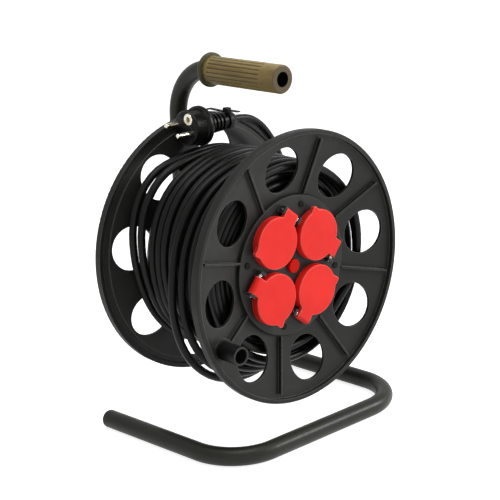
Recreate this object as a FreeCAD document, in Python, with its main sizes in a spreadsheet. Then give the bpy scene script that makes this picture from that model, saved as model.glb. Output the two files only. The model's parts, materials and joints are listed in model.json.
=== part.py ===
import FreeCAD, Part
import math
import os
import Sketcher

# Extension cord reel: a bent-tube stand, a drum with two holed flanges on a cross axle,
# a socket plate with four flap lids, a winding knob, the wound cord and its plug.
# Row frame: +Z up, -Y towards the socket side, origin on the floor under the middle of the reel.
# Drum frame: X right, Y up, Z out of the socket side, origin on the axle midway between the flanges.

V = FreeCAD.Vector

SIZES = {
    # Place of the drum in the row frame
    "axle_x": -4.1,
    "drum_y": -7.15,
    "axle_up": 175.0,
    # Flanges
    "flange_radius": 135.0,
    "reel_width": 153.3,
    "rim_depth": 8.0,
    "rim_wall": 4.5,
    "rim_round": 1.2,
    "web_step": 3.75,
    "web_slope": 0.22,
    "web_thick": 3.0,
    "back_groove_width": 6.5,
    "back_groove_depth": 1.2,
    "hole_count": 8,
    "hole_inner_margin": 6.5,
    "hole_outer_margin": 9.2,
    "front_hole_turn": 8.4,
    "rear_hole_turn": 8.6,
    "rib_thick": 2.0,
    "rib_height": 4.0,
    "rib_start_gap": 1.2,
    "rib_end_gap": 4.5,
    # Barrel, hub and axle
    "barrel_wall": 5.0,
    "barrel_foot": 1.5,
    "seat_lip": 1.69,
    "hub_radius": 19.0,
    "hub_inner_gap": 25.0,
    "hub_rim_gap": 2.0,
    "bush_wall": 4.0,
    "bush_lip": 3.0,
    "bush_lip_inset": 2.0,
    "axle_radius": 6.0,
    "run_gap": 0.05,
    "face_gap": 0.3,
    "spacer_radius": 9.5,
    "washer_radius": 12.0,
    "washer_thick": 2.0,
    "nut_flats": 18.0,
    "nut_thick": 8.0,
    "axle_stub": 2.0,
    "screw_radius": 1.5,
    "screw_length": 12.0,
    "screw_head": 1.8,
    "screw_head_radius": 2.3,
    # Socket plate
    "plate_overhang": 2.8,
    "plate_thick": 3.4,
    "plate_round": 0.8,
    "plate_rise": 3.434,
    "gasket_thick": 1.0,
    "plate_screw_inset": 1.3,
    "plate_screw_turn": -12.5,
    "plate_screw_head": 3.2,
    "plate_screw_rise": 1.0,
    "plate_screw_reach": 8.0,
    "plate_screw_boss": 4.0,
    "socket_turn": 41.65,
    "well_radius": 19.5,
    "well_wall": 2.0,
    "well_side_gap": 0.2,
    "well_depth": 17.5,
    "well_floor": 4.0,
    "collar_rise": 4.0,
    "well_lip": 1.0,
    "well_lip_thick": 1.6,
    "pin_spacing": 19.0,
    "pin_hole_radius": 2.6,
    "sleeve_radius": 3.6,
    "sleeve_bore": 2.45,
    "sleeve_length": 14.0,
    "clip_width": 5.0,
    "clip_thick": 1.0,
    "clip_gap": 0.1,
    "clip_tail": 4.0,
    "clip_top_gap": 3.0,
    "clip_slot_depth": 0.6,
    # Flap lids
    "lids_inner_edge": 13.8,
    "lid_room": 1.0,
    "lid_height": 8.0,
    "lid_gap": 0.3,
    "plate_gap": 0.2,
    "lid_wall": 3.0,
    "lid_round": 0.9,
    "seal_thick": 1.4,
    "seal_width": 3.4,
    "seal_gap": 0.1,
    "hinge_turn": 10.15,
    "hinge_offset": 5.7,
    "hinge_barrel": 3.9,
    "tab_width": 17.2,
    "thumb_turn": 138.1,
    "thumb_length": 4.4,
    "thumb_width": 12.0,
    "thumb_tip": 2.4,
    "thumb_thick": 4.0,
    "ear_thick": 2.5,
    "ear_radius": 3.4,
    "ear_gap": 0.3,
    "spring_room": 3.4,
    "hinge_pin_radius": 1.25,
    "hinge_pin_end": 0.5,
    "spring_wire": 0.6,
    "spring_radius": 2.05,
    "spring_pitch": 1.05,
    # Reset button and cut-out
    "button_radius": 7.0,
    "button_rise": 3.2,
    "button_round": 1.2,
    "button_length": 12.0,
    "button_travel": 2.0,
    "cutout_inset": 2.8,
    "cutout_depth": 30.0,
    "terminal_width": 24.0,
    "terminal_height": 18.0,
    "terminal_depth": 12.0,
    # Winding knob
    "knob_inset": 19.6,
    "knob_turn": -149.8,
    "knob_radius": 9.0,
    "knob_wall": 1.9,
    "knob_length": 24.0,
    "knob_floor": 4.0,
    "knob_round": 0.6,
    "knob_boss": 11.0,
    "knob_boss_step": 1.6,
    "spindle_radius": 3.0,
    "spindle_head": 5.6,
    "spindle_head_thick": 2.6,
    "spindle_end": 1.0,
    # Cord
    "cord_radius": 4.0,
    "lead_exit": 14.0,
    "lead_last_run": 26.0,
    "core_radius": 91.3,
    "core_end_gap": 0.75,
    "core_flare": 0.2,
    "turn_gap": 0.9,
    "turn_count": 11,
    "turn_end_gap": 1.0,
    "first_turn_angle": -20.0,
    "rise_angle": 137.0,
    "drop_angle": 242.0,
    "gland_angle": -3.4,
    "gland_z": -34.0,
    "gland_radius": 8.0,
    "gland_length": 12.0,
    "gland_inset": 0.6,
    "inlet_length": 18.0,
    "wire_radius": 1.3,
    "wire_straight": 8.0,
    # Plug
    "plug_x": -36.5,
    "plug_up": 127.5,
    "plug_z": -47.0,
    "plug_face_radius": 17.6,
    "plug_length": 32.0,
    "plug_ring_radius": 20.0,
    "plug_ring_thick": 5.0,
    "plug_taper": 0.6,
    "plug_round": 1.4,
    "plug_turn": 24.5,
    "plug_pin_radius": 2.4,
    "plug_pin_length": 19.0,
    "plug_pin_root": 6.0,
    "plug_pin_root_radius": 2.0,
    "plug_pin_tip": 0.6,
    "earth_offset": 10.0,
    "earth_radius": 4.4,
    "earth_bore": 2.4,
    "earth_depth": 18.0,
    "side_clip_width": 6.0,
    "side_clip_length": 14.0,
    "side_clip_sink": 1.2,
    "side_clip_room": 2.0,
    "relief_length": 32.0,
    "relief_root_radius": 10.0,
    "relief_end_radius": 6.6,
    "relief_ribs": 5,
    "relief_groove": 1.1,
    "relief_rib_edge": 0.6,
    "tie_reach": 55.0,
    "tie_width": 4.5,
    "tie_thick": 1.3,
    "tie_rim_radius": 8.6,
    "tie_stand_off": 2.2,
    "tie_head_rise": 4.5,
    "tie_head_length": 6.0,
    "tie_head_margin": 0.75,
    "tie_tail_thick": 1.1,
    "tie_tail_length": 16.0,
    "tie_tail_rise": 1.6,
    # Stand
    "tube_radius": 9.2,
    "tube_wall": 1.5,
    "bend_radius": 52.0,
    "foot_bend_radius": 45.0,
    "upright_gap": 101.7,
    "rail_y": -96.55,
    "left_front_x": -112.2,
    "left_rear_x": -126.2,
    "left_rear_y": 77.05,
    "right_front_x": 133.3,
    "right_rear_x": 121.7,
    "upright_foot": 128.0,
    "grip_up": 356.0,
    "grip_front_y": -61.25,
    "grip_length": 104.0,
    "grip_radius": 13.9,
    "grip_collar_radius": 17.3,
    "grip_collar_thick": 5.0,
    "grip_end_wall": 8.0,
    "grip_hole_radius": 7.3,
    "grip_grooves": 20,
    "grip_groove_radius": 1.1,
    "grip_groove_start": 5.0,
    "grip_round": 1.8,
    "grip_band": 20.0,
    "cap_dome": 5.0,
    "cap_tip": 0.5,
    "cap_plug": 12.0,
}

# Sizes that follow from others: the sockets set the lids, these the barrel and its plate,
# and the flange's holes, ribs and knob fit between the plate and the rim
TIED = {
    "lid_radius": "well_radius + well_wall + lid_room + lid_wall",
    "hinge_reach": "lid_radius + hinge_offset",
    "thumb_reach": "lid_radius + thumb_length",
    "socket_circle": "lid_radius + lids_inner_edge",
    "cutout_side": "2 * (lids_inner_edge - cutout_inset)",
    "barrel_radius": "socket_circle + well_radius + well_wall + well_lip + well_side_gap + barrel_wall",
    "plate_radius": "barrel_radius + plate_overhang",
    "plate_screw_circle": "barrel_radius - barrel_wall - plate_screw_inset",
    "hole_radius": "(flange_radius - rim_wall - hole_outer_margin - plate_radius - hole_inner_margin) / 2",
    "hole_circle": "plate_radius + hole_inner_margin + hole_radius",
    "rib_start": "plate_radius + rib_start_gap",
    "rib_end": "flange_radius - rim_wall - rib_end_gap",
    "knob_circle": "flange_radius - knob_inset",
    "plate_sink": "web_step + web_slope * (flange_radius - plate_radius) - plate_rise",
    "seat_drop": "web_step + web_slope * (flange_radius - barrel_radius) + web_thick + seat_lip",
    "core_half": "reel_width / 2 - seat_drop - core_end_gap",
}

# How far each outer turn, from the rear flange to the front one, stands off the even winding:
# upwards on the left of the drum, downwards under it, and along the axle
TURN_RISE = [22.5, 21.0, 10.5, 9.5, 10.0, 8.0, 10.0, 5.0, 4.0, 3.0, 2.0]
TURN_DROP = [2.5, 0.0, 0.0, 0.0, 0.0, 1.0, 31.0, 20.0, 12.0, 8.0, 5.0]
TURN_SHIFT = [-0.1, 1.6, 1.5, 0.6, -0.7, -0.4, -0.2, -1.5, -0.9, -0.6, -0.3]
# A rise or drop fades slowly on the left of the drum, and a rise is over before the plug
FADE_OF_RISE = 9
FADE_UNDER_PLUG = 24
FADE_OF_DROP = 4
# Part of a turn after which it eases over to the next turn's looseness, on the right of the drum
EASE_FROM = 0.64

# Route of the lead in the drum frame, as angle and distance from the axle, and place along it
LEAD_ROUTE = [
    (65.1, 134.4, -47.2),
    (57.5, 131.5, -47.5),
    (45.5, 124.5, -48.5),
    (31.0, 117.0, -50.0),
    (15.5, 110.5, -51.5),
]

# The sockets, their lids and each ring of screws come four times round the axle
QUARTERS = 4

doc = FreeCAD.newDocument("ExtensionCordReel")
sheet = doc.addObject("Spreadsheet::Sheet", "Sizes")
formulas = {alias: f"={formula}" for alias, formula in TIED.items()}
for row, (alias, content) in enumerate({**SIZES, **formulas}.items(), start=1):
    sheet.set(f"A{row}", alias)
    sheet.set(f"B{row}", str(content))
    sheet.setAlias(f"B{row}", alias)
doc.recompute()

finished = {}


def size(alias):
    return float(sheet.get(alias))


def amount(expression):
    """Value of an expression over the sheet's cells."""
    return float(sheet.evalExpression(str(expression)))


HALF = "(Sizes.reel_width / 2)"
PLATE_FRONT = f"({HALF} - Sizes.plate_sink)"
PLATE_BACK = f"({PLATE_FRONT} - Sizes.plate_thick)"
PLATE_SEAT = f"({PLATE_BACK} - Sizes.gasket_thick)"
BARREL_END = f"({HALF} - Sizes.seat_drop)"
BARREL_BORE = "(Sizes.barrel_radius - Sizes.barrel_wall)"
RIM_INNER = "(Sizes.flange_radius - Sizes.rim_wall)"
WELL_OUTER = "(Sizes.well_radius + Sizes.well_wall)"
WELL_TOP = f"({PLATE_FRONT} + Sizes.collar_rise)"
WELL_FLOOR = f"({WELL_TOP} - Sizes.well_depth)"
WELL_BACK = f"({WELL_FLOOR} - Sizes.well_floor)"
LID_BOTTOM = f"({PLATE_FRONT} + Sizes.lid_gap)"
LID_TOP = f"({LID_BOTTOM} + Sizes.lid_height)"
HINGE_Z = f"({LID_TOP} - Sizes.hinge_barrel)"
KNOB_SEAT = f"({HALF} - Sizes.web_step - Sizes.web_slope * (Sizes.flange_radius - Sizes.knob_circle)"
KNOB_SEAT += " + Sizes.knob_boss_step)"
BUSH_OUTER = "(Sizes.axle_radius + Sizes.run_gap + Sizes.bush_wall)"
HUB_REAR = f"({HALF} - Sizes.hub_rim_gap)"


def web_front(radius):
    """Height of the flange web's outer face at a radius."""
    return f"({HALF} - Sizes.web_step - Sizes.web_slope * (Sizes.flange_radius - {radius}))"


def web_back(radius):
    return f"({web_front(radius)} - Sizes.web_thick)"


# Frames

DRUM = FreeCAD.Placement(
    V(size("axle_x"), size("drum_y"), size("axle_up")),
    FreeCAD.Rotation(V(1, 0, 0), 90),
)
BACKWARDS = FreeCAD.Placement(V(0, 0, 0), FreeCAD.Rotation(V(0, 1, 0), 180))


def turned_about_axle(degrees):
    return FreeCAD.Placement(V(0, 0, 0), FreeCAD.Rotation(V(0, 0, 1), degrees))


def moved(x, y, z):
    return FreeCAD.Placement(V(x, y, z), FreeCAD.Rotation())


def socket_frame(number):
    """Frame on the drum axis plane at one socket, X towards its hinge."""
    angle = size("socket_turn") + 360 / QUARTERS * number
    hinge = size("hinge_turn")
    centre = FreeCAD.Rotation(V(0, 0, 1), angle).multVec(V(size("socket_circle"), 0, 0))
    hinge_angle = angle - 90 + hinge
    return DRUM.multiply(FreeCAD.Placement(centre, FreeCAD.Rotation(V(0, 0, 1), hinge_angle)))


# Building helpers

def origin_plane(body, role):
    return next(feature for feature in body.Origin.OriginFeatures if feature.Role == role)


def new_body(node):
    body = doc.addObject("PartDesign::Body", f"{node}_body")
    body.Label = node
    return body


def new_sketch(body, name, role="XY_Plane", height=None):
    sketch = body.newObject("Sketcher::SketchObject", name)
    sketch.AttachmentSupport = (origin_plane(body, role), [""])
    sketch.MapMode = "FlatFace"
    if height is not None:
        sketch.setExpression("AttachmentOffset.Base.z", str(height))
    return sketch


def place_point(sketch, edge, end, x, y):
    """Tie one end of a sketch edge to two expressions."""
    for kind, expression in (("DistanceX", x), ("DistanceY", y)):
        start = amount(expression)
        index = sketch.addConstraint(Sketcher.Constraint(kind, -1, 1, edge, end, start))
        sketch.setExpression(f"Constraints[{index}]", str(expression))


def draw_outline(sketch, points):
    """Closed outline of straight lines through points given as pairs of expressions."""
    first = sketch.GeometryCount
    corners = [V(amount(x), amount(y), 0) for x, y in points]
    for index, corner in enumerate(corners):
        following = corners[(index + 1) % len(corners)]
        sketch.addGeometry(Part.LineSegment(corner, following), False)
    for index in range(len(corners)):
        following = (index + 1) % len(corners)
        sketch.addConstraint(Sketcher.Constraint("Coincident", first + index, 2, first + following, 1))
        place_point(sketch, first + index, 1, *points[index])


def draw_circle(sketch, x, y, radius):
    centre = V(amount(x), amount(y), 0)
    edge = sketch.addGeometry(Part.Circle(centre, V(0, 0, 1), amount(radius)), False)
    place_point(sketch, edge, 3, x, y)
    index = sketch.addConstraint(Sketcher.Constraint("Radius", edge, amount(radius)))
    sketch.setExpression(f"Constraints[{index}]", str(radius))


def revolve(body, points, name="Turned", groove=False):
    sketch = new_sketch(body, f"{name}Outline", "XZ_Plane")
    draw_outline(sketch, points)
    feature = body.newObject("PartDesign::Groove" if groove else "PartDesign::Revolution", name)
    feature.Profile = sketch
    feature.ReferenceAxis = (sketch, ["V_Axis"])
    feature.Angle = 360
    return feature


def extrude(body, sketch, name, length, cut=False, middle=False, through=False, reverse=False):
    feature = body.newObject("PartDesign::Pocket" if cut else "PartDesign::Pad", name)
    feature.Profile = sketch
    if through:
        feature.Type = "ThroughAll"
    else:
        feature.setExpression("Length", str(length))
    if middle:
        feature.SideType = "Symmetric"
    feature.Reversed = reverse
    return feature


def repeat_round(body, features, name, count):
    pattern = body.newObject("PartDesign::PolarPattern", name)
    pattern.Originals = features
    pattern.Axis = (origin_plane(body, "Z_Axis"), [""])
    pattern.Angle = 360
    pattern.setExpression("Occurrences", str(count))
    body.Tip = pattern
    return pattern


def round_edges(body, feature, name, radius, chosen):
    """Fillet of the circular edges that the test picks by radius and height."""
    doc.recompute()
    edges = []
    for index, edge in enumerate(feature.Shape.Edges, start=1):
        curve = edge.Curve
        if isinstance(curve, Part.Circle) and chosen(curve.Radius, curve.Center.z):
            edges.append(f"Edge{index}")
    fillet = body.newObject("PartDesign::Fillet", name)
    fillet.Base = (feature, edges)
    fillet.setExpression("Radius", str(radius))
    return fillet


def near(first, second):
    return abs(first - second) < 1e-4


def finish(node, thing, placement):
    """Place a finished sub-part and list it under its node name."""
    thing.Label = node
    thing.Placement = placement
    finished[node] = thing


def cylinder(name, radius, height, base=None):
    thing = doc.addObject("Part::Cylinder", name)
    thing.setExpression("Radius", str(radius))
    thing.setExpression("Height", str(height))
    return placed(thing, base)


def block(name, sides, base=None):
    thing = doc.addObject("Part::Box", name)
    for side, expression in zip(("Length", "Width", "Height"), sides):
        thing.setExpression(side, str(expression))
    return placed(thing, base)


def placed(thing, base):
    """Tie a primitive's base point to three expressions."""
    if base:
        for axis, expression in zip("xyz", base):
            thing.setExpression(f"Placement.Base.{axis}", str(expression))
    return thing


def cut(name, base, tool):
    thing = doc.addObject("Part::Cut", name)
    thing.Base = base
    thing.Tool = tool
    return thing


def union(name, things):
    thing = doc.addObject("Part::MultiFuse", name)
    thing.Shapes = things
    return thing


def group(name, things):
    """Separate solids that share one node."""
    thing = doc.addObject("Part::Compound", name)
    thing.Links = things
    return thing


def ring(node, outer, inner, height, base_z):
    base = ("0", "0", base_z)
    solid = cylinder(f"{node}_outside", outer, height, base)
    bore = cylinder(f"{node}_bore", inner, height, base)
    return cut(f"{node}_ring", solid, bore)


def shape_feature(node, shape, placement):
    thing = doc.addObject("Part::Feature", f"{node}_shape")
    thing.Shape = shape
    finish(node, thing, placement)
    return thing


# Tubes along routes

def arc_between(start, corner, end):
    """Arc from start to end, tangent to the lines that meet at the corner."""
    middle = (start + end) * 0.5
    half_chord = (end - start).Length / 2
    height = (corner - middle).Length
    rise = half_chord * math.tan(math.atan2(height, half_chord) / 2)
    crown = middle + (corner - middle).normalize() * rise
    return Part.Arc(start, crown, end)


def bent_route(points, radii=None, label=None):
    """Straight runs joined by tangent arcs, each as large as its two runs allow unless given."""
    edges = []
    last = points[0]
    found = []
    for index in range(1, len(points) - 1):
        corner = points[index]
        back = points[index - 1] - corner
        ahead = points[index + 1] - corner
        half_turn = (math.pi - back.getAngle(ahead)) / 2
        radius = 0.45 * min(back.Length, ahead.Length) / math.tan(half_turn)
        if radii:
            radius = radii[index - 1]
        reach = radius * math.tan(half_turn)
        start = corner + V(back).normalize() * reach
        end = corner + V(ahead).normalize() * reach
        edges.append(Part.LineSegment(last, start).toShape())
        edges.append(arc_between(start, corner, end).toShape())
        last = end
        found.append(radius)
    edges.append(Part.LineSegment(last, points[-1]).toShape())
    if label:
        print(label, "bend radii", [round(value, 1) for value in found])
    return Part.Wire(edges)


def tube_along(route, radius):
    """Round bar swept along a wire of lines and arcs."""
    first = route.OrderedEdges[0]
    start = first.valueAt(first.FirstParameter)
    heading = first.tangentAt(first.FirstParameter)
    section = Part.Wire(Part.Circle(start, heading, radius).toShape())
    return route.makePipeShell([section], True, False)


def biarc(start, start_heading, end, end_heading):
    """Two arcs that leave the start and reach the end along the given headings."""
    gap = end - start
    total = start_heading + end_heading
    cosine = start_heading.dot(end_heading)
    a = 2 * (1 - cosine)
    b = gap.dot(total)
    reach = (-b + math.sqrt(b * b + a * gap.dot(gap))) / a
    first_corner = start + start_heading * reach
    second_corner = end - end_heading * reach
    joint = (first_corner + second_corner) * 0.5
    return [
        arc_between(start, first_corner, joint).toShape(),
        arc_between(joint, second_corner, end).toShape(),
    ]


def looseness(values, turns):
    """Value of the turn at this place, eased over to the next one on the right of the drum."""
    first_bottom = (size("first_turn_angle") + 70) / 360
    place = max(turns - first_bottom, 0.0)
    turn = min(int(place), len(values) - 1)
    share = min(max((place - turn - EASE_FROM) / (1 - EASE_FROM), 0.0), 1.0)
    eased = share * share * (3 - 2 * share)
    following = values[min(turn + 1, len(values) - 1)]
    return values[turn] * (1 - eased) + following * eased


def nearness(angle, other, fade):
    """One at the other angle, falling to nothing on the far side of the drum."""
    return ((1 + math.cos(angle - math.radians(other))) / 2) ** fade


def winding_point(turns):
    """Centre of the wound cord after a number of turns, clockwise as seen from the socket side."""
    angle = math.radians(size("first_turn_angle") - 360 * turns)
    tight = size("core_radius") + size("turn_gap") + size("cord_radius")
    end = amount(web_back(f"{tight}")) - size("cord_radius") - size("turn_end_gap")
    along = end * (2 * turns / size("turn_count") - 1) + looseness(TURN_SHIFT, turns)
    past_rise = math.sin(angle - math.radians(size("rise_angle"))) < 0
    fade = FADE_UNDER_PLUG if past_rise else FADE_OF_RISE
    radius = tight + looseness(TURN_RISE, turns) * nearness(angle, size("rise_angle"), fade)
    radius += looseness(TURN_DROP, turns) * nearness(angle, size("drop_angle"), FADE_OF_DROP)
    return V(radius * math.cos(angle), radius * math.sin(angle), along)


def winding_heading(turns):
    step = 1e-4
    return (winding_point(turns + step) - winding_point(turns - step)).normalize()


def least_self_gap(points, diameter, skip):
    """Least gap between a tube's surface and itself, between points further apart than skip."""
    least = 1e9
    for index, point in enumerate(points):
        for other in points[index + skip:]:
            least = min(least, (point - other).Length)
    return least - diameter


def wound_tube():
    count = int(size("turn_count"))
    radius = size("cord_radius")
    quarters = [number / 4 for number in range(4 * count + 1)]
    start = winding_point(0)
    lead_in = start - winding_heading(0) * 2 * radius
    edges = [Part.LineSegment(lead_in, start).toShape()]
    for first, second in zip(quarters, quarters[1:]):
        edges += biarc(
            winding_point(first), winding_heading(first),
            winding_point(second), winding_heading(second),
        )
    end = winding_point(count)
    edges.append(Part.LineSegment(end, end + winding_heading(count) * 2 * radius).toShape())
    steps = 48
    samples = [winding_point(number / steps) for number in range(count * steps + 1)]
    gap = least_self_gap(samples, 2 * radius, steps // 2)
    print("winding: turns", count, "least gap to itself", round(gap, 2), "mm")
    return tube_along(Part.Wire(edges), radius)


# Stand

def stand_points():
    upright_y = size("drum_y") + size("upright_gap")
    floor = size("tube_radius")
    grip_end = size("grip_front_y") + size("grip_end_wall")
    return [
        V(size("left_rear_x"), size("left_rear_y"), floor),
        V(size("left_front_x"), size("rail_y"), floor),
        V(size("right_front_x"), size("rail_y"), floor),
        V(size("right_rear_x"), upright_y, floor),
        V(size("axle_x"), upright_y, size("upright_foot")),
        V(size("axle_x"), upright_y, size("grip_up")),
        V(size("axle_x"), grip_end, size("grip_up")),
    ]


def build_stand_tube():
    bend = size("bend_radius")
    foot = size("foot_bend_radius")
    route = bent_route(stand_points(), [bend, bend, foot, foot, bend])
    solid = tube_along(route, size("tube_radius"))
    hollow = tube_along(route, size("tube_radius") - size("tube_wall"))
    upright_y = size("drum_y") + size("upright_gap")
    centre = V(size("axle_x"), upright_y - 2 * size("tube_radius"), size("axle_up"))
    cross_hole = Part.makeCylinder(size("axle_radius"), 4 * size("tube_radius"), centre, V(0, 1, 0))
    shape_feature("stand_tube", solid.cut(hollow).cut(cross_hole), moved(0, 0, 0))


def build_end_cap():
    body = new_body("tube_end_cap")
    plug_radius = "(Sizes.tube_radius - Sizes.tube_wall)"
    feature = revolve(body, [
        ("0", "-Sizes.cap_plug"),
        (plug_radius, "-Sizes.cap_plug"),
        (plug_radius, "0"),
        ("Sizes.tube_radius", "0"),
        ("Sizes.tube_radius", "Sizes.cap_dome"),
        ("0", "Sizes.cap_dome"),
    ])
    dome = "(Sizes.cap_dome - Sizes.cap_tip)"
    top = size("cap_dome")
    radius = size("tube_radius")
    round_edges(body, feature, "Dome", dome, lambda r, z: near(r, radius) and near(z, top))
    points = stand_points()
    outwards = (points[0] - points[1]).normalize()
    turn = FreeCAD.Rotation(V(0, 0, 1), outwards)
    finish("tube_end_cap", body, FreeCAD.Placement(points[0], turn))


def build_grip():
    body = new_body("handle_grip")
    length = "Sizes.grip_length"
    collar_top = "Sizes.grip_collar_thick"
    feature = revolve(body, [
        ("Sizes.tube_radius", "0"),
        ("Sizes.grip_collar_radius", "0"),
        ("Sizes.grip_collar_radius", collar_top),
        ("Sizes.grip_radius", collar_top),
        ("Sizes.grip_radius", length),
        ("Sizes.grip_hole_radius", length),
        ("Sizes.grip_hole_radius", f"({length} - Sizes.grip_end_wall)"),
        ("Sizes.tube_radius", f"({length} - Sizes.grip_end_wall)"),
    ])
    sketch = new_sketch(body, "GrooveCircle", "XY_Plane", "(Sizes.grip_collar_thick + Sizes.grip_groove_start)")
    draw_circle(sketch, "(Sizes.grip_radius + Sizes.grip_groove_radius / 3)", "0", "Sizes.grip_groove_radius")
    run = "(Sizes.grip_length - Sizes.grip_collar_thick - Sizes.grip_groove_start - Sizes.grip_band)"
    groove = extrude(body, sketch, "Groove", run, cut=True, reverse=True)
    pattern = repeat_round(body, [groove], "Grooves", "Sizes.grip_grooves")
    collar = size("grip_collar_radius")
    grip = size("grip_radius")
    end = size("grip_length")
    round_edges(
        body, pattern, "SoftEdges", "Sizes.grip_round",
        lambda r, z: near(r, collar) or (near(r, grip) and near(z, end)),
    )
    rear_y = size("grip_front_y") + size("grip_length")
    place = FreeCAD.Placement(V(size("axle_x"), rear_y, size("grip_up")), FreeCAD.Rotation(V(1, 0, 0), 90))
    finish("handle_grip", body, place)


def build_axle():
    upright = "(-Sizes.upright_gap)"
    rear = f"({upright} - Sizes.tube_radius - Sizes.axle_stub)"
    hub_end = "(-Sizes.hub_inner_gap)"
    washer_z = f"({hub_end} + Sizes.face_gap)"
    nut_z = f"({washer_z} + Sizes.washer_thick)"
    front = f"({nut_z} + Sizes.nut_thick + Sizes.axle_stub)"
    bar = cylinder("axle_bar", "Sizes.axle_radius", f"({front} - {rear})")
    finish("axle", bar, DRUM.multiply(moved(0, 0, amount(rear))))
    spacer_z = f"({upright} + Sizes.tube_radius)"
    spacer_length = f"(-{HUB_REAR} - Sizes.bush_lip - Sizes.face_gap - {spacer_z})"
    spacer = ring("axle_spacer", "Sizes.spacer_radius", "Sizes.axle_radius", spacer_length, spacer_z)
    finish("axle_spacer", spacer, DRUM)
    finish("axle_washer", ring("axle_washer", "Sizes.washer_radius", "Sizes.axle_radius", "Sizes.washer_thick",
                               washer_z), DRUM)
    nut = doc.addObject("Part::Prism", "nut_hexagon")
    nut.Polygon = 6
    nut.setExpression("Circumradius", "Sizes.nut_flats / 2 / cos(30)")
    nut.setExpression("Height", "Sizes.nut_thick")
    nut.setExpression("Placement.Base.z", nut_z)
    bore = cylinder("nut_bore", "Sizes.axle_radius", "Sizes.nut_thick", ("0", "0", nut_z))
    finish("axle_nut", cut("nut_cut", nut, bore), DRUM)


# Drum

def flange_rim(centre_points):
    """Half outline of a flange: the centre differs, the rim and cone are shared."""
    groove_in = f"({RIM_INNER} - Sizes.back_groove_width)"
    return centre_points + [
        (groove_in, web_back(groove_in)),
        (groove_in, f"({web_back(groove_in)} + Sizes.back_groove_depth)"),
        (RIM_INNER, f"({web_back(RIM_INNER)} + Sizes.back_groove_depth)"),
        (RIM_INNER, f"({HALF} - Sizes.rim_depth)"),
        ("Sizes.flange_radius", f"({HALF} - Sizes.rim_depth)"),
        ("Sizes.flange_radius", HALF),
        (RIM_INNER, HALF),
        (RIM_INNER, web_front(RIM_INNER)),
    ]


def add_web_details(body, feature):
    """Rounded rim, ribs along the flange's own X axis and its repeats, and holes between them."""
    outer = size("flange_radius")
    top = amount(HALF)
    round_edges(body, feature, "RimEdge", "Sizes.rim_round", lambda r, z: near(r, outer) and near(z, top))
    start = "Sizes.rib_start"
    end = "Sizes.rib_end"
    outline = new_sketch(body, "RibOutline", "XZ_Plane")
    draw_outline(outline, [
        (start, f"({web_front(start)} - Sizes.web_thick / 2)"),
        (end, f"({web_front(end)} - Sizes.web_thick / 2)"),
        (end, f"({web_front(end)} + Sizes.rib_height)"),
        (start, f"({web_front(start)} + Sizes.rib_height)"),
    ])
    rib = extrude(body, outline, "Rib", "Sizes.rib_thick", middle=True)
    repeat_round(body, [rib], "Ribs", "Sizes.hole_count")
    holes = new_sketch(body, "HoleCircle")
    middle = "(180 / Sizes.hole_count)"
    draw_circle(holes, f"Sizes.hole_circle * cos({middle})", f"Sizes.hole_circle * sin({middle})",
                "Sizes.hole_radius")
    hole = extrude(body, holes, "Hole", None, cut=True, through=True, middle=True)
    return repeat_round(body, [hole], "Holes", "Sizes.hole_count")


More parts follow.
